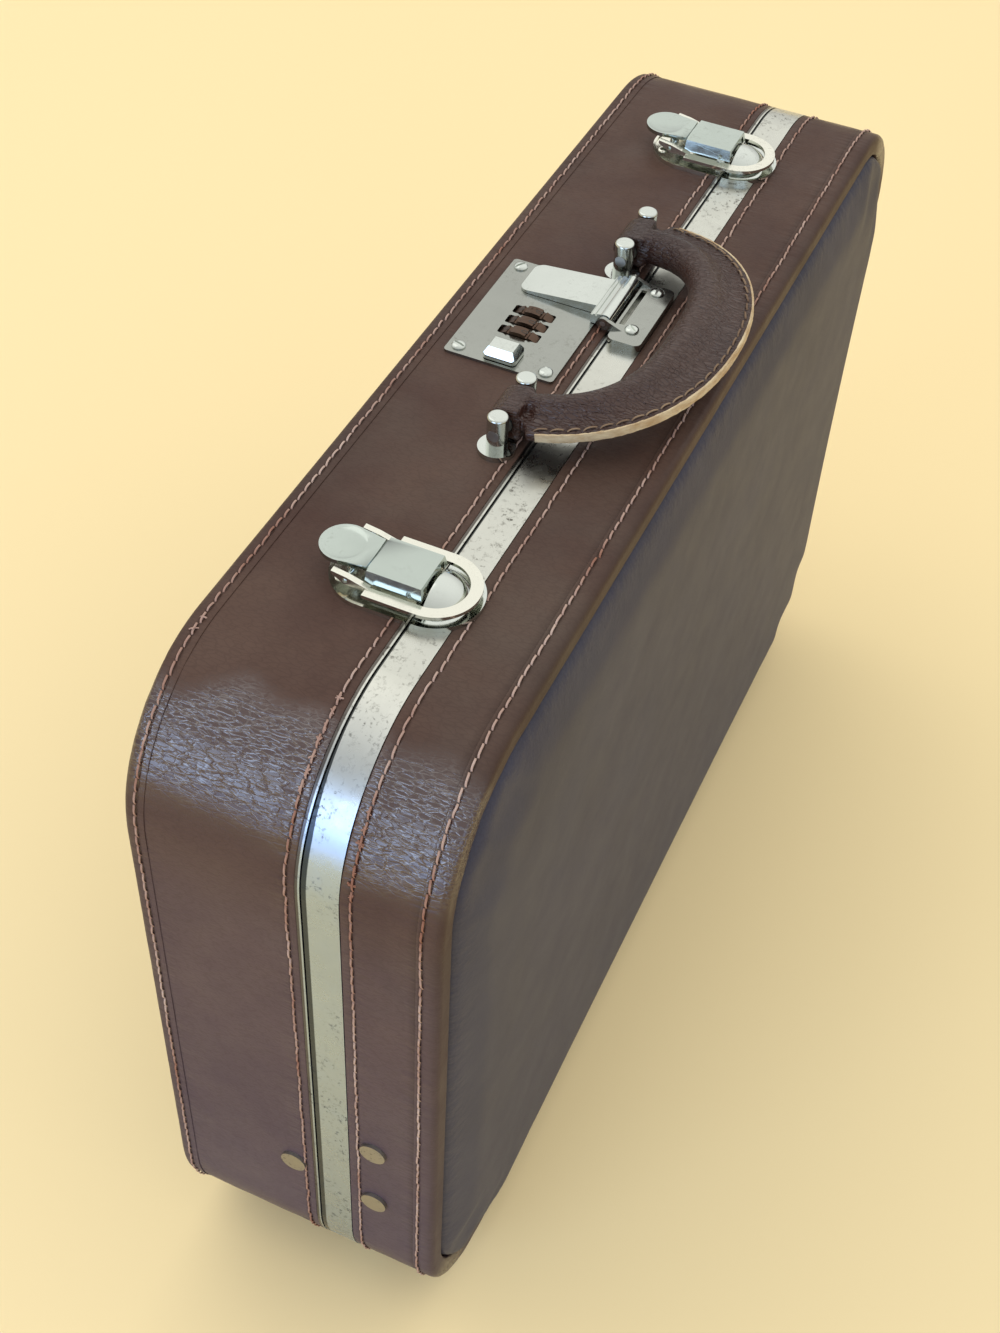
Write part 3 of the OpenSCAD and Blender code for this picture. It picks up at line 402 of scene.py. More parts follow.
thread = plain_fibre("thread", (0.56, 0.41, 0.34), (0.28, 0.12, 0.075), 22, 0.0001)
handle_thread = plain_fibre("handle_thread", (0.30, 0.20, 0.12), (0.14, 0.08, 0.045), 60, 0.0001)
raw_edge = plain_fibre("raw_edge", (0.76, 0.62, 0.40), (0.50, 0.33, 0.17), 120, 0.0003, (1, 1, 3))
board_card = plain_fibre("board_card", (0.42, 0.30, 0.18), (0.34, 0.23, 0.13), 40, 0.0001)


def woven(name, light, dark, pitch):
    """Waves along the three axes cross into a plain weave on every wall."""
    mat, tree, shader = blank(name, light, 0.9)
    coords = add(tree, "TexCoord").outputs["Object"]
    values = {"Scale": math.pi / pitch / 10, "Distortion": 0.6, "Detail": 1.0}
    waves = []
    for direction in ("X", "Y", "Z"):
        wave = add(tree, "TexWave", values, bands_direction=direction)
        tree.links.new(coords, wave.inputs["Vector"])
        waves.append(wave.outputs["Fac"])
    weave = times(tree, plus(tree, waves[0], waves[1]), waves[2])
    shown = ramp(tree, weave, [(0.1, 0), (1.0, 1)])
    tree.links.new(mix(tree, shown, dark, light), shader.inputs["Base Color"])
    tree.links.new(bump(tree, weave, 0.0002), shader.inputs["Normal"])
    shader.inputs["Sheen Weight"].default_value = 0.2
    return mat


lining_cloth = woven("lining_cloth", (0.46, 0.36, 0.24), (0.30, 0.22, 0.14), 0.0011)
print("soft finishes:", thread.name, raw_edge.name, lining_cloth.name, board_card.name)

# %% [markdown]
# ## Metals
# The fittings are nickel-plated steel. Polished pieces such as the levers are bright, with soft
# scratches. The flat band has stood in the weather: its plating is dull, with dark specks. Painted shade
# lies along the seam, and below the top a painted cold reflection tints the band. The number wheels are
# browned brass.

# %% Metal finishes
top_band = 0.030


def metal(name, color, rough, specks, scratch, tarnish=(0.12, 0.11, 0.09), seam_shade_width=0.0):
    """Plated metal: amount of dark specks, depth of scratches, and width of the painted shade beside the
    seam.
    """
    mat, tree, shader = blank(name, color, rough, 1.0)
    link = tree.links.new
    flat = place(tree)
    broad = ramp(tree, noise_at(tree, flat, 26, 4, 0.6), [(0.3, 0), (0.75, 0.5)])
    tone = mix(tree, broad, color, tuple(c * 0.78 for c in color))
    fine = ramp(tree, noise_at(tree, flat, 520, 5, 0.75, 0.3), [(0.54, 0), (0.64, 1)])
    patch = ramp(tree, noise_at(tree, flat, 45, 3, 0.6), [(0.40, 0), (0.62, 1)])
    spots = times(tree, times(tree, fine, patch), specks)
    tone = mix(tree, spots, tone, tarnish)
    if seam_shade_width:
        # A dark line of painted shade lies along the seam; towards the top it is a third as wide
        axes = add(tree, "SeparateXYZ")
        link(flat, axes.inputs["Vector"])
        above = times(tree, minus(tree, axes.outputs["Z"], top - top_band), 33)
        above = math_at(tree, "MINIMUM", math_at(tree, "MAXIMUM", above, 0), 1)
        wide = ramp(tree, above, [(0.1, 1), (0.85, 0.35)])
        away = math_at(tree, "DIVIDE", minus(tree, seam, axes.outputs["Y"]), seam_shade_width)
        middle = minus(tree, math_at(tree, "DIVIDE", away, wide), 0.5)
        seam_shade = ramp(tree, math_at(tree, "ABSOLUTE", middle), [(0.42, 0.92), (0.55, 0)])
        tone = mix(tree, seam_shade, tone, (0.03, 0.035, 0.035))
        # Below the top a painted cold reflection tints the plating
        tone = mix(tree, above, mix(tree, 1.0, tone, (0.70, 0.86, 1.22), "MULTIPLY"), tone)
        # Painted shade darkens the body's lip beside the hide
        lip_shade = ramp(tree, times(tree, away, -1), [(0.42, 0), (0.54, 0.85)])
        tone = mix(tree, lip_shade, tone, (0.05, 0.035, 0.03))
    link(tone, shader.inputs["Base Color"])
    smears = [(0.3, max(rough - 0.06, 0.04)), (0.75, rough + 0.14)]
    worn = ramp(tree, noise_at(tree, flat, 90, 5, 0.7), smears)
    link(plus(tree, worn, times(tree, spots, 0.3)), shader.inputs["Roughness"])
    height = bump(tree, noise_at(tree, flat, 60, 2), 0.0004, 0.5)
    scratches = noise_at(tree, place(tree, (60, 900, 900)), 1, 2)
    link(bump(tree, scratches, scratch, 0.6, height), shader.inputs["Normal"])
    return mat


bright_nickel = metal("bright_nickel", (0.60, 0.63, 0.59), 0.10, 0.25, 0.00001)
loop_nickel = metal("loop_nickel", (0.74, 0.73, 0.64), 0.14, 0.35, 0.00001)
lever_nickel = metal("lever_nickel", (0.46, 0.51, 0.47), 0.12, 0.25, 0.00001)
band_nickel = metal("band_nickel", (0.59, 0.59, 0.53), 0.28, 1.0, 0.00003, seam_shade_width=0.0019)
plate_nickel = metal("plate_nickel", (0.34, 0.35, 0.32), 0.17, 0.35, 0.00002)
plain_steel = metal("plain_steel", (0.42, 0.41, 0.39), 0.34, 0.4, 0.00003)
dark_steel = metal("dark_steel", (0.10, 0.10, 0.10), 0.45, 0.3, 0.00002)
wheel_brass = metal("wheel_brass", (0.11, 0.07, 0.05), 0.34, 0.6, 0.00002, (0.04, 0.025, 0.015))
rivet_steel = metal("rivet_steel", (0.36, 0.34, 0.31), 0.42, 0.7, 0.00002)


def both(*names):
    """The left and the right node of each name."""
    return [name + side for name in names for side in ("_left", "_right")]


finishes = {
    bright_nickel: both("latch_catch") + ["hasp", "lock_slide", "handle_posts"],
    lever_nickel: both("lever"),
    loop_nickel: both("pull_loop", "latch_base"),
    plate_nickel: ["lock_plate", "keeper_plate", "lock_screws", "keeper_screws", "hinge_body_leaves",
                   "hinge_lid_leaves", "body_studs", "lid_studs"],
    band_nickel: ["lid_frame", "body_frame"],
    rivet_steel: ["stay_body_rivets", "stay_lid_brackets"],
    plain_steel: ["hinge_pins", "dial_axle", "lock_bolt", "hasp_pin", "handle_pins", "handle_bushes"]
    + both("stay_body_link", "stay_lid_link"),
    dark_steel: ["lock_case"],
    wheel_brass: ["dial_1", "dial_2", "dial_3"],
    board_card: ["body_wall", "lid_wall", "body_back_board", "lid_face_board"],
    lining_cloth: ["body_lining", "lid_lining"],
    side_leather: ["body_side_leather", "lid_side_leather", "body_rim", "lid_rim"],
    face_leather: ["body_back_leather", "lid_face_leather"],
    handle_leather: ["handle_grip", "handle_ends"],
}
for material, members in finishes.items():
    for member in members:
        data = nodes[member].data
        data.materials.clear()
        data.materials.append(material)
print("finished nodes:", sum(len(m) for m in finishes.values()), "of", len(nodes))

# %% [markdown]
# ## Leather round the sides
# On the real case the side leather is a long strip wrapped round a bent board, turned under beside the
# metal frame and sewn along each edge. It could be cut from a block, but a strip is a section drawn once
# and carried round the case, so the section is extruded along each straight run and spun round each
# corner.

# %% Carry a section round the case
straight_step = 0.0046
corner_steps = 17


def section(name, points):
    """Draw a closed section at the middle of the bottom by extruding from point to point (y, inset)."""
    nothing()
    y, inset = points[0]
    bpy.ops.mesh.primitive_plane_add(size=0.001, location=(0, y, bottom + inset))
    piece = named(name)
    bpy.ops.object.mode_set(mode="EDIT")
    bpy.ops.mesh.merge(type="CENTER")
    for (y0, d0), (y1, d1) in zip(points, points[1:] + points[:1]):
        push(0, y1 - y0, d1 - d0)
    bpy.ops.object.mode_set(mode="OBJECT")
    settle(piece)
    return piece


def carry_round(piece):
    """Extrude and spin the section round the case, then close it on itself."""
    edit_all(piece)
    bpy.ops.mesh.remove_doubles(threshold=0.000001)
    side_x, side_z = half_l - corner_r, half_h - corner_r
    runs = [((1, 0, 0), side_x, (side_x, -side_z)), ((0, 0, 1), 2 * side_z, (side_x, side_z)),
            ((-1, 0, 0), 2 * side_x, (-side_x, side_z)), ((0, 0, -1), 2 * side_z, (-side_x, -side_z)),
            ((1, 0, 0), side_x, None)]
    for direction, length, corner in runs:
        steps = round(length / straight_step)
        for _ in range(steps):
            push(*(c * length / steps for c in direction))
        if corner:
            x, z = corner
            bpy.ops.mesh.spin(steps=corner_steps, angle=math.pi / 2, center=(x, 0, mid_z + z), axis=(0, 1, 0))
    tidy_mesh(piece)


def arc(y, inset, radius, start, stop, steps):
    """Points of an arc in the section; 0 degrees looks along +Y and 90 degrees looks inwards."""
    turns = [math.radians(start + (stop - start) * k / steps) for k in range(steps + 1)]
    return [(y + radius * math.cos(a), inset + radius * math.sin(a)) for a in turns]


def groove(y, depth=0.00025, width=0.0011):
    """The dip that a row of stitches pulls into the leather."""
    shape = [(-1, 0.0), (-0.55, 0.5), (-0.2, 0.95), (0.2, 0.95), (0.55, 0.5), (1, 0.0)]
    return [(y + side * width, depth * dip) for side, dip in shape]


print("outline:", round(half_l * 2, 3), "by", round(half_h * 2, 3))

# %% [markdown]
# The stitch rows sit at measured distances from the seam. Each strip's section runs from the turned edge
# at the metal to the flat end under the rim, with a groove under its row of stitches and a few plain
# points between.

# %% Side leather of body and lid
body_row = seam + 0.0050
lid_row = seam - 0.0160
body_rim_row = seam + 0.0541
lid_rim_row = seam - 0.0383
turned = 0.0006


def strip_section(edge, row, end, way):
    """Section of a side strip; way is +1 when it runs from the seam to the back, -1 to the front."""
    dips = groove(row)
    if way < 0:
        dips.reverse()
    quarter = (180, 270) if way > 0 else (0, -90)
    folded = arc(edge + way * turned, turned, turned, *quarter, 4)
    first = row + way * 0.0030
    count = max(3, round(abs(end - first) / 0.0055))
    plain = [(first + (end - first) * k / count, 0.0) for k in range(count)]
    worn_end = [(end - way * 0.0006, 0.00008), (end, 0.0004), (end, leather_t)]
    return [(edge, leather_t)] + folded + dips + plain + worn_end


body_strip = section("body_side_hide", strip_section(body_front, body_row, body_board, 1))
carry_round(body_strip)
lid_strip = section("lid_side_hide", strip_section(lid_back, lid_row, lid_board, -1))
carry_round(lid_strip)
print("side strips:", len(body_strip.data.polygons), len(lid_strip.data.polygons))

# %% [markdown]
# ## Rims
# A second, narrower strip covers the edge of each padded face. It laps a little over the side leather,
# where it is sewn down, turns over the edge and ends beside the padding. The lap stands a fifth of a
# millimetre proud, and painted shade darkens the side leather along its edge.

# %% Rims round the back and round the front
body_lap = body_board - 0.0013
lid_lap = lid_board + 0.0026
rim_inset = 0.0080
rim_radius = 0.0024
foot_radius = 0.0016
lap_t = 0.00018


def rim_section(lap, row, board, face, way):
    """Section of a rim from its lap on the side leather to its foot beside the padding."""
    dips = [(y, d - lap_t) for y, d in groove(row, 0.00025, 0.0009)]
    if way < 0:
        dips.reverse()
    lip = [(lap, 0.0), (lap, -lap_t * 0.6), (lap + way * 0.0002, -lap_t), (lap + way * 0.0006, -lap_t)]
    centre_y, quarter = face - way * rim_radius, (-90, 0) if way > 0 else (270, 180)
    over = arc(centre_y, rim_radius - lap_t * 0.4, rim_radius, *quarter, 8)
    foot_y, turn = face - way * foot_radius, (0, 90) if way > 0 else (180, 90)
    foot = arc(foot_y, rim_inset - foot_radius, foot_radius, *turn, 5)
    return lip + dips + over + [(face, 0.0042)] + foot + [(board, rim_inset), (board, 0.0)]


body_edge = section("body_rim_hide", rim_section(body_lap, body_rim_row, body_board, body_back, 1))
carry_round(body_edge)
lid_edge = section("lid_rim_hide", rim_section(lid_lap, lid_rim_row, lid_board, lid_front, -1))
carry_round(lid_edge)
print("rims:", len(body_edge.data.polygons), len(lid_edge.data.polygons))

# %% [markdown]
# Hide is never flat. Every point moves a few hundredths of a millimetre along its normal, more at the
# corners where the strip was pulled round, and less along the top, where the fittings lie. Three painted
# values tell the material where the seams dip, where stitches pucker the hide, and where it is stretched
# and rubbed glossy.

# %% Slack in the hide, and what the material needs to know
gloss_from, gloss_to = 0.34, 1.42
fittings_z = top - 0.004


def corner_share(point):
    """1 on the rounded corners, fading to 0 along the straight runs."""
    over = min(abs(point.x) - (half_l - corner_r), abs(point.z - mid_z) - (half_h - corner_r))
    share = max(0.0, min(1.0, 0.45 + over / 0.024))
    return share * share * (3 - 2 * share)


def rubbed(point):
    """1 where a corner is rubbed shiny: the middle of the bend, with an uneven border."""
    lean = math.atan2(abs(point.x) - (half_l - corner_r), abs(point.z - mid_z) - (half_h - corner_r))
    lean += 0.16 * noise.noise(point / 0.018)
    rise = max(0.0, min(1.0, (lean - gloss_from) / 0.26))
    fall = max(0.0, min(1.0, (gloss_to - lean) / 0.50))
    share = rise * fall
    return share * share * (3 - 2 * share)


def paint(piece, name, value):
    """Store one value per vertex, worked out from the vertex's place."""
    layer = piece.data.attributes.new(name, "FLOAT", "POINT")
    layer.data.foreach_set("value", [value(v.co) for v in piece.data.vertices])


def slacken(piece, amount, wave, rows, face=None):
    """Move the vertices a little along their normals, and paint groove, pucker and gloss."""
    normals = [v.normal.copy() for v in piece.data.vertices]
    for vertex, normal in zip(piece.data.vertices, normals):
        free = 1.0 if vertex.co.z < fittings_z else 0.25
        lift = noise.fractal(vertex.co / wave, 0.8, 2.0, 3) * amount * free
        vertex.co += normal * (lift * (0.4 + corner_share(vertex.co)))
    near = lambda co: min(abs(co.y - row) for row in rows)
    edge = lambda co: 0.0 if face is None else max(0.0, 1 - abs(co.y - face) / 0.0040)
    # groove marks painted shade: the seam dips, the side leather under a lap, and the rim's turn by the
    # padding
    paint(piece, "groove", lambda co: max(edge(co), 1 - near(co) / 0.0012))
    paint(piece, "pucker", lambda co: math.exp(-(near(co) / 0.0045) ** 2))
    paint(piece, "gloss", rubbed)
    shade(piece)


lock_low, lock_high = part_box("lock_case")
lock_lap = 0.001
strips = [(body_strip, [body_row, body_board]), (lid_strip, [lid_row, lid_lap])]
rims = [(body_edge, body_rim_row, body_back), (lid_edge, lid_rim_row, lid_front)]
for piece, rows in strips:
    soften(piece)
    if piece == body_strip:
        cut_box(piece, (lock_low.x + lock_lap, lock_low.y + lock_lap, top - 0.01),
                (lock_high.x - lock_lap, lock_high.y - lock_lap, top + 0.01))
    slacken(piece, 0.00012, 0.011, rows)
for piece, row, face in rims:
    soften(piece)
    slacken(piece, 0.00010, 0.009, [row], face)
for piece, body, node in ((body_strip, "case", "body_side_leather"), (lid_strip, "lid", "lid_side_leather"),
                          (body_edge, "case", "body_rim"), (lid_edge, "lid", "lid_rim")):
    dress(piece, body, "side_leather", side_leather, node)

# %% [markdown]
# ## Padded faces
# Front and back are thin leather over a pad on a board. A flat box would look dead, so each face starts
# as a rounded plate with a raised middle. Its upper side is then blown up a little as cloth while its rim
# and underside hold still, which gives the slow swells and the pull beside the edge.

# %% Padded front and back
face_inset = 0.0083
face_x, face_z = half_l - face_inset, half_h - face_inset
face_r = corner_r - face_inset
pad_voxel = 0.005
air_frames = 20


def rounded(name, y, half_x, half_z, radius, segments):
    """A flat rectangle across the case with rounded corners, left in edit mode."""
    nothing()
    bpy.ops.mesh.primitive_plane_add(size=2, location=(0, y, mid_z), rotation=(math.pi / 2, 0, 0))
    piece = named(name)
    piece.scale = (half_x, half_z, 1)
    settle(piece)
    edit_all(piece)
    bpy.ops.mesh.bevel(offset=radius, segments=segments, affect="VERTICES")
    return piece


def plate(name, foot, crown, way):
    """A rounded plate on the board that rises in two steps; way is the side it faces along Y."""
    piece = rounded(name, foot, face_x, face_z, face_r, 10)
    push(0, way * (crown - 0.0022), 0)
    for inset, rise in ((0.0035, 0.0012), (0.012, 0.0010)):
        bpy.ops.mesh.inset(thickness=inset, depth=0)
        bpy.ops.transform.translate(value=(0, way * rise, 0))
    tidy_mesh(piece)
    return piece


def blow_up(piece, voxel, cap, held):
    """Remesh a closed form, blow it up as cloth, and keep each point within a cap of where it was."""
    only(piece)
    piece.data.remesh_voxel_size = voxel
    bpy.ops.object.voxel_remesh()
    start = [v.co.copy() for v in piece.data.vertices]
    still = [i for i, co in enumerate(start) if held(co)]
    group = piece.vertex_groups.new(name="held")
    group.add(still, 1.0, "REPLACE")
    cloth = piece.modifiers.new("air", "CLOTH")
    air = cloth.settings
    air.quality = 4
    air.mass = 0.2
    air.tension_stiffness = air.compression_stiffness = 12
    air.use_pressure = True
    air.uniform_pressure_force = 4
    air.vertex_group_mass = "held"
    air.effector_weights.gravity = 0
    cloth.point_cache.frame_start, cloth.point_cache.frame_end = 1, air_frames
    for frame_number in range(1, air_frames + 1):
        bpy.context.scene.frame_set(frame_number)
    apply_all(piece)
    bpy.context.scene.frame_set(1)
    for vertex, place_before in zip(piece.data.vertices, start):
        move = vertex.co - place_before
        if move.length > cap:
            vertex.co = place_before + move.normalized() * cap
    soften(piece)
    shade(piece)


def near_rim(co):
    """1 at the edge of a padded face, 0 from 12 mm inside it."""
    return max(0.0, 1 - min(face_x - abs(co.x), face_z - abs(co.z - mid_z)) / 0.012)


front_pad = plate("front_pad", lid_board, 0.0092, -1)
blow_up(front_pad, pad_voxel, 0.0016, lambda co: co.y > lid_board - 0.0048)
back_pad = plate("back_pad", body_board, 0.0050, 1)
blow_up(back_pad, pad_voxel, 0.0006, lambda co: co.y < body_board + 0.0032)
for pad in (front_pad, back_pad):
    paint(pad, "groove", lambda co: 0.0)
    paint(pad, "pucker", near_rim)
    paint(pad, "gloss", lambda co: 0.35)
dress(front_pad, "lid", "face_leather", face_leather, "lid_face_leather")
dress(back_pad, "case", "face_leather", face_leather, "body_back_leather")

# %% [markdown]
# ## Rows of stitches
# Waxed thread goes through both layers every four and a half millimetres. One stitch is modelled as a
# flat two-ply thread that dives at both ends, then copied along each row with a small random slant and
# length, so no two stitches are quite alike. Some of them have frayed into loose ends.

# %% Stitches round the case
random.seed(7)
stitch_pitch = 0.0045
stitch_l = 0.0042
stitch_r = 0.00032


def make_stitch():
    """A thread along X: six sides, extruded in short steps over a low arch, then twisted."""
    nothing()
    bpy.ops.mesh.primitive_circle_add(vertices=6, radius=stitch_r, fill_type="NGON",
                                      location=(-stitch_l / 2, 0, 0), rotation=(0, math.pi / 2, 0))
    stitch = named("stitch")
    settle(stitch)
    edit_all(stitch)
    bpy.ops.transform.resize(value=(1, 1.15, 0.75))
    heights = [-0.0003, 0.0001, 0.0003, 0.00035, 0.0003, 0.0001, -0.0003]
    for low, high in zip(heights, heights[1:]):
        push(stitch_l / 6, 0, high - low)
    bpy.ops.object.mode_set(mode="OBJECT")
    twist = stitch.modifiers.new("ply", "SIMPLE_DEFORM")
    twist.deform_method = "TWIST"
    twist.deform_axis = "X"
    twist.angle = 0.7
    apply_all(stitch)
    tidy_mesh(stitch)
    shade(stitch)
    return stitch


def row_of(name, stitch, places):
    """Copy the stitch to each place, each copy with its own mesh, and join the copies."""
    copies = []
    for matrix in places:
        copy = in_scene(name, stitch.data.copy())
        copy.data.transform(matrix)
        copies.append(copy)
    join(copies)
    return named(name)


def along_outline(y, proud, pitch):
    """Places of stitches round the case at one depth, with the thread's X along the row."""
    side_x, side_z = half_l - corner_r, half_h - corner_r
    corners = [(side_x, side_z), (side_x, -side_z), (-side_x, -side_z), (-side_x, side_z)]
    legs = [(2 * side_x, corner_r * math.pi / 2), (2 * side_z, corner_r * math.pi / 2)] * 2
    length = sum(a + b for a, b in legs)
    count = round(length / pitch)
    places = []
    for k in range(count):
        s = length * k / count
        turn = 0
        for straight, bend in legs:
            if s < straight + bend:
                break
            s -= straight + bend
            turn += 1
        x, z = corners[turn]
        angle = math.pi / 2 - turn * math.pi / 2
        bent = max(0.0, s - straight) / corner_r
        out = Vector((math.cos(angle - bent), 0, math.sin(angle - bent)))
        along = Vector((out.z, 0, -out.x))
        spot = Vector((x, y, mid_z + z)) + out * (corner_r + proud)
        if s < straight:
            spot -= along * (straight - s)
        slant = random.gauss(0.10, 0.05)
        aside = Vector((0, 1, 0))
        x_axis = (along * math.cos(slant) + aside * math.sin(slant)).normalized()
        y_axis = out.cross(x_axis)
        size = random.uniform(0.92, 1.1)
        spot += aside * random.gauss(0, 0.00012)
        places.append(set_at(spot, x_axis * size, y_axis, out))
    return places


def frayed(places, lean, count):
    """Loose ends on the stitches nearest to a spot of the left top corner; lean is its angle from the top."""
    x = -(half_l - corner_r) - corner_r * math.sin(lean)
    z = top - corner_r + corner_r * math.cos(lean)
    nearest = sorted(places, key=lambda m: math.hypot(m.translation.x - x, m.translation.z - z))
    ends = []
    for matrix in nearest[:count]:
        for _ in range(random.randint(1, 5)):
            turn = Matrix.Rotation(random.uniform(0, 6.3), 4, "Z")
            turn = turn @ Matrix.Rotation(random.uniform(-0.9, -0.2), 4, "Y")
            ends.append(matrix @ turn @ Matrix.Scale(random.uniform(0.35, 0.85), 4))
    return ends


stitch = make_stitch()
rows = [("body_seam_stitches", body_row, -0.0002, "case", [(0.40, 4), (0.75, 3)]),
        ("body_rim_stitches", body_rim_row, 0.0001, "case", [(0.15, 2)]),
        ("lid_seam_stitches", lid_row, -0.0002, "lid", [(0.95, 4), (1.25, 3)]),
        ("lid_rim_stitches", lid_rim_row, 0.0001, "lid", [])]
for name, y, proud, body, spots in rows:
    places = along_outline(y, proud, stitch_pitch)
    loose = [end for lean, count in spots for end in frayed(places, lean, count)]
    row = row_of(name, stitch, places + loose)
    dress(row, body, "side_leather", thread)
bpy.data.objects.remove(stitch)

# %% [markdown]
# ## The padded handle
# The grip is a steel strip in a pad, wrapped in leather whose two edges are sewn together along the
# outside of the D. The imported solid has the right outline, so a copy of it and of its two eyes is fused
# by a voxel remesh and swelled as cloth, while the flat sewn edge and the eyes hold still. That gives the
# soft, full look that a bevelled solid lacks.

# %% Handle plane and outline
pins_low, pins_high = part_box("handle_pins")
hub = Vector((0, (pins_low.y + pins_high.y) / 2, (pins_low.z + pins_high.z) / 2))
tilt = math.radians(7)
reach_way = Vector((0, -math.cos(tilt), math.sin(tilt)))
grip_up = Vector((0, math.sin(tilt), math.cos(tilt)))
past_bush = 0.0048
outer_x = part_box("handle_bushes")[1].x + past_bush
outer_reach = 0.057
outer_power = 2.2
edge_half = 0.0017


def on_bow(turn, inside):
    """A point of the grip's outer curve in its plane, moved inwards, with the direction along the curve."""
    power = 2 / outer_power
    a, b = outer_x - inside, outer_reach - inside
    c, s = math.cos(turn), math.sin(turn)
    spot = Vector((math.copysign(a * abs(c) ** power, c), b * abs(s) ** power))
    slope = Vector((-spot.y / b ** 2, spot.x / a ** 2))
    return spot, slope


def edge_distance(co):
    """Rough distance of a point from the outer curve."""
    away = co - hub
    x, y = abs(away.x), away.dot(reach_way)
    if y < 0.006:
        return 0.02
    share = (x / outer_x) ** outer_power + (y / outer_reach) ** outer_power
    return (1 - share ** (1 / outer_power)) * math.hypot(x, y)


print("grip outline", round(outer_x, 4), "by", outer_reach)

# %% Grip
grip_voxel = 0.0015
grip = copy_of("handle_grip", "handle_ends")
grip.name = grip.data.name = "grip_cover"
blow_up(grip, grip_voxel, 0.0009, lambda co: edge_distance(co) < 0.0052 or (co - hub).dot(reach_way) < 0.008)
# groove marks the painted shade along the grip's stitch line
paint(grip, "groove", lambda co: max(0.0, 1 - abs(edge_distance(co) - 0.0022) / 0.0009))
paint(grip, "pucker", lambda co: max(0.0, 1 - abs(edge_distance(co) - 0.0045) / 0.004))
paint(grip, "gloss", lambda co: 1.0)
dress(grip, "handle", "handle_leather", handle_leather, "handle_grip", "handle_ends")

# %% [markdown]
# The cut edge of the hide shows as a pale line outside the stitches. A flat curve along the outline,
# given some height, becomes a strip; a little noise makes it look cut by hand.

# %% Raw edge of the grip
def bow_curve(name, inside, start, stop, count):
    """A flat open curve along the grip's outline, in the XY plane."""
    data = bpy.data.curves.new(name, "CURVE")
    data.dimensions = "2D"
    spline = data.splines.new("POLY")
    spline.points.add(count - 1)
    for k, point in enumerate(spline.points):
        spot = on_bow(start + (stop - start) * k / (count - 1), inside)[0]
        point.co = (spot.x, spot.y, 0, 1)
    return in_scene(name, data)


into_grip = set_at(hub, (1, 0, 0), reach_way, grip_up)
edge_strip = bow_curve("grip_raw_edge", 0.0003, math.radians(11), math.radians(169), 150)
edge_strip.data.extrude = edge_half * 0.92
only(edge_strip)
bpy.ops.object.convert(target="MESH")
edge_strip = bpy.context.object
wall = edge_strip.modifiers.new("thick", "SOLIDIFY")
wall.thickness = 0.0008
wall.offset = 0
edge_strip.modifiers.new("worn", "BEVEL").width = 0.0003
edge_strip.modifiers["worn"].segments = 2
apply_all(edge_strip)
edge_strip.data.transform(into_grip)
tidy_mesh(edge_strip)
for vertex in edge_strip.data.vertices:
    vertex.co += Vector((1, 1, 1)) * noise.noise(vertex.co * 700) * 0.00012
shade(edge_strip, 40)
dress(edge_strip, "handle", "handle_leather", raw_edge)

# %% Stitches along the grip's edge
grip_pitch = 0.0052
bow_steps = 2399
thread_inside = 0.0022


def along_bow(side, pitch):
    """Places of stitches on the top or the underside of the flat edge."""
    places, walked, last = [], pitch, None
    for k in range(bow_steps + 1):
        turn = math.radians(12 + 156 * k / bow_steps)
        spot, slope = on_bow(turn, thread_inside)
        if last is not None:
            walked += (spot - last).length
        last = spot
        if walked < pitch:
            continue
        walked = 0.0
        slope = slope.normalized()
        along = (Vector((1, 0, 0)) * slope.x + reach_way * slope.y).normalized()
        out = grip_up * side
        lean = random.gauss(0.12, 0.05) * side
        x_axis = (along * math.cos(lean) + out.cross(along) * math.sin(lean)).normalized()
        size = random.uniform(1.0, 1.2)
        centre_at = hub + Vector((1, 0, 0)) * spot.x + reach_way * spot.y + out * (edge_half - 0.0001)
        places.append(set_at(centre_at, x_axis * size, out.cross(x_axis), out))
    return places


stitch = make_stitch()
grip_row = row_of("grip_stitches", stitch, along_bow(1, grip_pitch) + along_bow(-1, grip_pitch))
dress(grip_row, "handle", "handle_leather", handle_thread)
bpy.data.objects.remove(stitch)

# %% [markdown]
# ## Screws
# Domed heads with a slot hold the lock's cover and the plate on the lid. One head starts as a disc,
# extruded and shrunk step by step into a dome, and its slot is cut with a Boolean. Copies are turned so
# their slots differ.

# %% Slotted screws
def make_screw(diameter, height):
    """A domed head standing on z = 0, with a slot along X."""
    nothing()
    bpy.ops.mesh.primitive_circle_add(vertices=40, radius=diameter / 2, fill_type="NGON")
    head = named("screw")
    edit_all(head)
    push(0, 0, height * 0.35)
    for rise, shrink in ((0.25, 0.90), (0.2, 0.82), (0.12, 0.72), (0.06, 0.55)):
        push(0, 0, height * rise)
        bpy.ops.transform.resize(value=(shrink, shrink, 1))
    tidy_mesh(head)
    slot_half = diameter * 0.08
    cut_box(head, (-diameter, -slot_half, height * 0.55), (diameter, slot_half, height * 2))
    shade(head, 35)
    return head


def screw_at(x, y, z, turn):
    """A screw's place, with its slot turned by some degrees."""
    return Matrix.Translation((x, y, z)) @ Matrix.Rotation(math.radians(turn), 4, "Z")


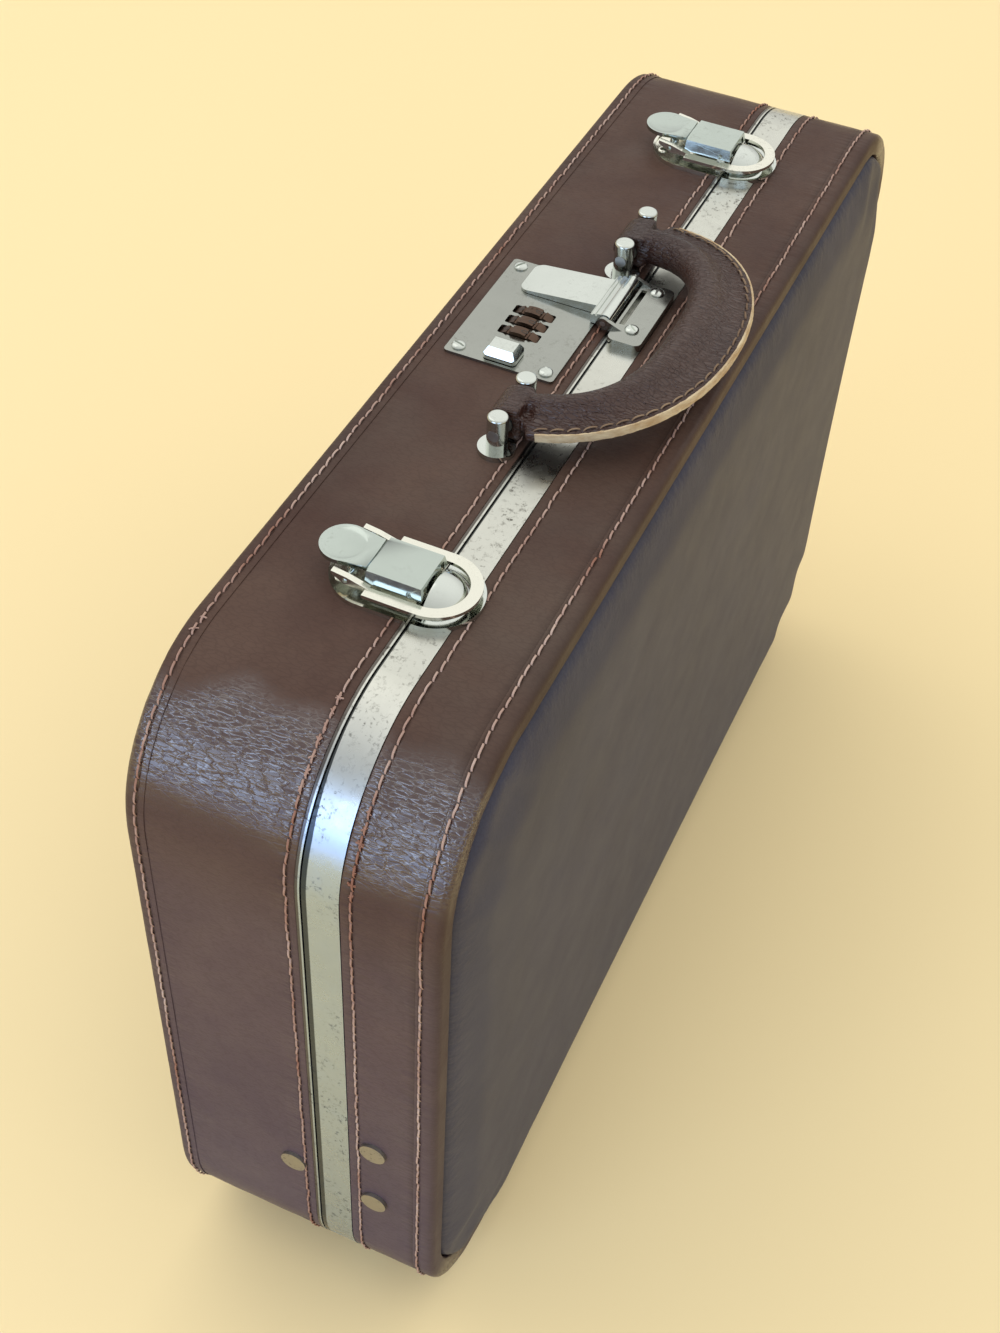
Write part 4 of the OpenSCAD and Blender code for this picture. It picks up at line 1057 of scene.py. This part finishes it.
screw_r = 0.0025
sunk = 0.00002
low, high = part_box("lock_screws")
left, right, front, back = low.x + screw_r, high.x - screw_r, low.y + screw_r, high.y - screw_r
lock_places = [screw_at(left, front, low.z - sunk, 20), screw_at(left, back, low.z - sunk, 75),
               screw_at(right, back, low.z - sunk, -35)]
head = make_screw(2 * screw_r, high.z - low.z)
dress(row_of("lock_slotted_screws", head, lock_places), "case", "nickel", bright_nickel, "lock_screws")
low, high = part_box("keeper_screws")
left, right, front = low.x + screw_r, high.x - screw_r, low.y + screw_r
keeper_places = [screw_at(left, front, low.z - sunk, 50), screw_at(right, front, low.z - sunk, 5)]
dress(row_of("keeper_slotted_screws", head, keeper_places), "lid", "nickel", bright_nickel, "keeper_screws")
bpy.data.objects.remove(head)

# %% [markdown]
# ## Thumb tabs
# Each lever ends in a tab with a shallow round hollow for the thumb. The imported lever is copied, and a
# flat ellipsoid that dips half a millimetre into the tab is taken away from it.

# %% Hollows in the thumb tabs
hollow_half = (0.0074, 0.0070, 0.0007)
hollow_back = 0.0076
hollow_lift = 0.0002
for side in ("left", "right"):
    lever = copy_of("lever_" + side)
    lever.name = lever.data.name = "lever_" + side + "_hollowed"
    low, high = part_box("lever_" + side)
    spot = ((low.x + high.x) / 2, high.y - hollow_back, high.z + hollow_lift)
    nothing()
    bpy.ops.mesh.primitive_uv_sphere_add(segments=72, ring_count=48, radius=1, location=spot)
    cutter = named("cutter")
    cutter.scale = hollow_half
    settle(cutter)
    cut_with(lever, cutter)
    shade(lever, 30)
    dress(lever, "lever_" + side, "nickel", lever_nickel, "lever_" + side)

# %% [markdown]
# ## Numbers on the wheels
# Each wheel carries the ten digits round its rim. Text is the quickest start: it is made a mesh while it
# lies flat, then turned about the wheel's axle to its place.

# %% Digits
digit_size = 0.0036
digit_proud = 0.00004
first_turn = 9
digit_enamel = plain_fibre("digit_enamel", (0.05, 0.035, 0.025), (0.02, 0.015, 0.01), 900, 0.00002, rough=0.5)
for wheel in ("dial_1", "dial_2", "dial_3"):
    low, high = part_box(wheel)
    axle = (low + high) / 2
    radius = (high.z - low.z) / 2
    parts = []
    for value in range(10):
        nothing()
        bpy.ops.object.text_add()
        label = bpy.context.object
        label.data.body = str(value)
        label.data.size = digit_size
        label.data.align_x, label.data.align_y = "CENTER", "CENTER"
        label.data.extrude = digit_proud
        bpy.ops.object.convert(target="MESH")
        label = bpy.context.object
        on_rim = Matrix.Translation((0, 0, radius)) @ Matrix.Rotation(math.pi, 4, "Z")
        turn = Matrix.Rotation(math.radians(36 * value + first_turn), 4, "X")
        label.data.transform(Matrix.Translation(axle) @ turn @ on_rim)
        parts.append(label)
    join(parts)
    dress(named(wheel + "_digits"), wheel, "wheel_brass", digit_enamel)

# %% [markdown]
# ## Cloth linings
# Body and lid are lined with woven cloth glued to the board. Each lining is a tray: a rounded plate at
# the mouth is extruded down to the floor, its mouth opened, and the sheet given its thickness. Slow noise
# over the floor stands for the places where the glue has let go, and the body's tray is cut open for the
# lock.

# %% Linings
lining_inset = 0.0046
tray_x, tray_z = half_l - lining_inset, half_h - lining_inset
mouth_back = 0.0002
floor_back = 0.0005
cloth_t = 0.0006
lock_gap = 0.0002


def tray(name, mouth, floor_y, node, body):
    """A cloth tray from its mouth to its floor; it opens towards the seam."""
    piece = rounded(name, mouth, tray_x, tray_z, corner_r - lining_inset, 14)
    depth = floor_y - mouth
    for _ in range(6):
        push(0, depth * 0.96 / 6, 0)
    bpy.ops.mesh.inset(thickness=0.0015, depth=0)
    bpy.ops.transform.translate(value=(0, depth * 0.04, 0))
    for ring in (0.012, 0.030, 0.040):
        bpy.ops.mesh.inset(thickness=ring, depth=0)
    bpy.ops.mesh.select_all(action="DESELECT")
    bpy.ops.object.mode_set(mode="OBJECT")
    for face in piece.data.polygons:
        face.select = abs(face.center.y - mouth) < 0.0002 and len(face.vertices) > 20
    bpy.ops.object.mode_set(mode="EDIT")
    bpy.ops.mesh.select_mode(type="FACE")
    bpy.ops.mesh.delete(type="ONLY_FACE")
    tidy_mesh(piece)
    soften(piece, 2)
    inward = -1 if depth > 0 else 1
    for vertex in piece.data.vertices:
        rim = min(tray_x - abs(vertex.co.x), tray_z - abs(vertex.co.z - mid_z))
        if rim > 0.006:
            vertex.co.y += inward * abs(noise.noise(vertex.co / 0.045)) * 0.0006
    sheet = piece.modifiers.new("cloth", "SOLIDIFY")
    sheet.thickness = cloth_t
    sheet.offset = 0
    apply_all(piece)
    if body == "case":
        cut_box(piece, (lock_low.x - lock_gap, lock_low.y - lock_gap, top - 0.02),
                (lock_high.x + lock_gap, lock_high.y + lock_gap, top))
    shade(piece, 50)
    dress(piece, body, "lining", lining_cloth, node)


low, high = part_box("body_lining")
tray("body_cloth", low.y + mouth_back, high.y - floor_back, "body_lining", "case")
low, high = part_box("lid_lining")
tray("lid_cloth", high.y - mouth_back, low.y + floor_back, "lid_lining", "lid")

# %% [markdown]
# ## Floor, light and background
# The floor is a plain warm sheet. Soft panels stand for windows. A sky that is darker near the horizon
# and brighter to the right fills the shadows and gives the bright metal something to show.

# %% Stage
nothing()
bpy.ops.mesh.primitive_plane_add(size=12, location=(0, 0, -0.0002))
floor = named("floor")
paper, tree, shader = blank("floor_paper", (0.98, 0.78, 0.43), 0.9)
shader.inputs["Specular IOR Level"].default_value = 0.2
floor.data.materials.append(paper)

world = bpy.data.worlds.new("studio")
bpy.context.scene.world = world
world.use_nodes = True
tree = world.node_tree
sky = tree.nodes["Background"]
facing = add(tree, "SeparateXYZ")
tree.links.new(add(tree, "TexCoord").outputs["Generated"], facing.inputs["Vector"])
heights = [(0.0, (0.42, 0.42, 0.41)), (0.5, (0.84, 0.84, 0.81)), (1.0, (0.98, 0.98, 0.95))]
tree.links.new(ramp(tree, facing.outputs["Z"], heights), sky.inputs["Color"])
tree.links.new(plus(tree, times(tree, facing.outputs["X"], 0.42), 1.11), sky.inputs["Strength"])


case_middle = Vector((0, 0, 0.17))


def panel(name, direction, distance, size, radiance, color):
    """A square area light of a given brightness that looks at the case."""
    data = bpy.data.lights.new(name, "AREA")
    data.shape = "SQUARE"
    data.size = size
    data.energy = radiance * math.pi * size * size
    data.color = color
    lamp = in_scene(name, data)
    away = Vector(direction).normalized()
    lamp.location = case_middle + away * distance
    lamp.rotation_euler = away.to_track_quat("Z", "Y").to_euler()


panel("window_high", (-0.89, 0.26, 0.35), 2.0, 0.85, 2.6, (0.58, 0.74, 1.0))
panel("window_low", (-0.95, 0.27, 0.10), 2.0, 1.3, 1.7, (0.42, 0.62, 1.0))
panel("window_side", (-0.80, -0.60, 0.35), 2.2, 1.2, 1.6, (0.45, 0.65, 1.0))
panel("ceiling", (0.10, 0.80, 1.0), 2.4, 2.0, 0.5, (1.0, 0.98, 0.94))
print("stage ready")

# %% [markdown]
# ## Camera
# The viewpoint comes from a camera fitted to the seams of the case in the photograph.

# %% Camera
camera_data = bpy.data.cameras.new("camera")
camera = in_scene("camera", camera_data)
right = Vector((0.41432, -0.90929, 0.03915))
up = Vector((0.65239, 0.32670, 0.68385))
back = right.cross(up)
camera.matrix_world = set_at((-0.4792, seam - 0.1644, bottom + 0.6681), right, up, back)
camera_data.lens = 49.56
camera_data.clip_start = 0.01
bpy.context.scene.camera = camera
bpy.context.scene.view_settings.view_transform = "Standard"
print("camera at", tuple(round(v, 3) for v in camera.location))
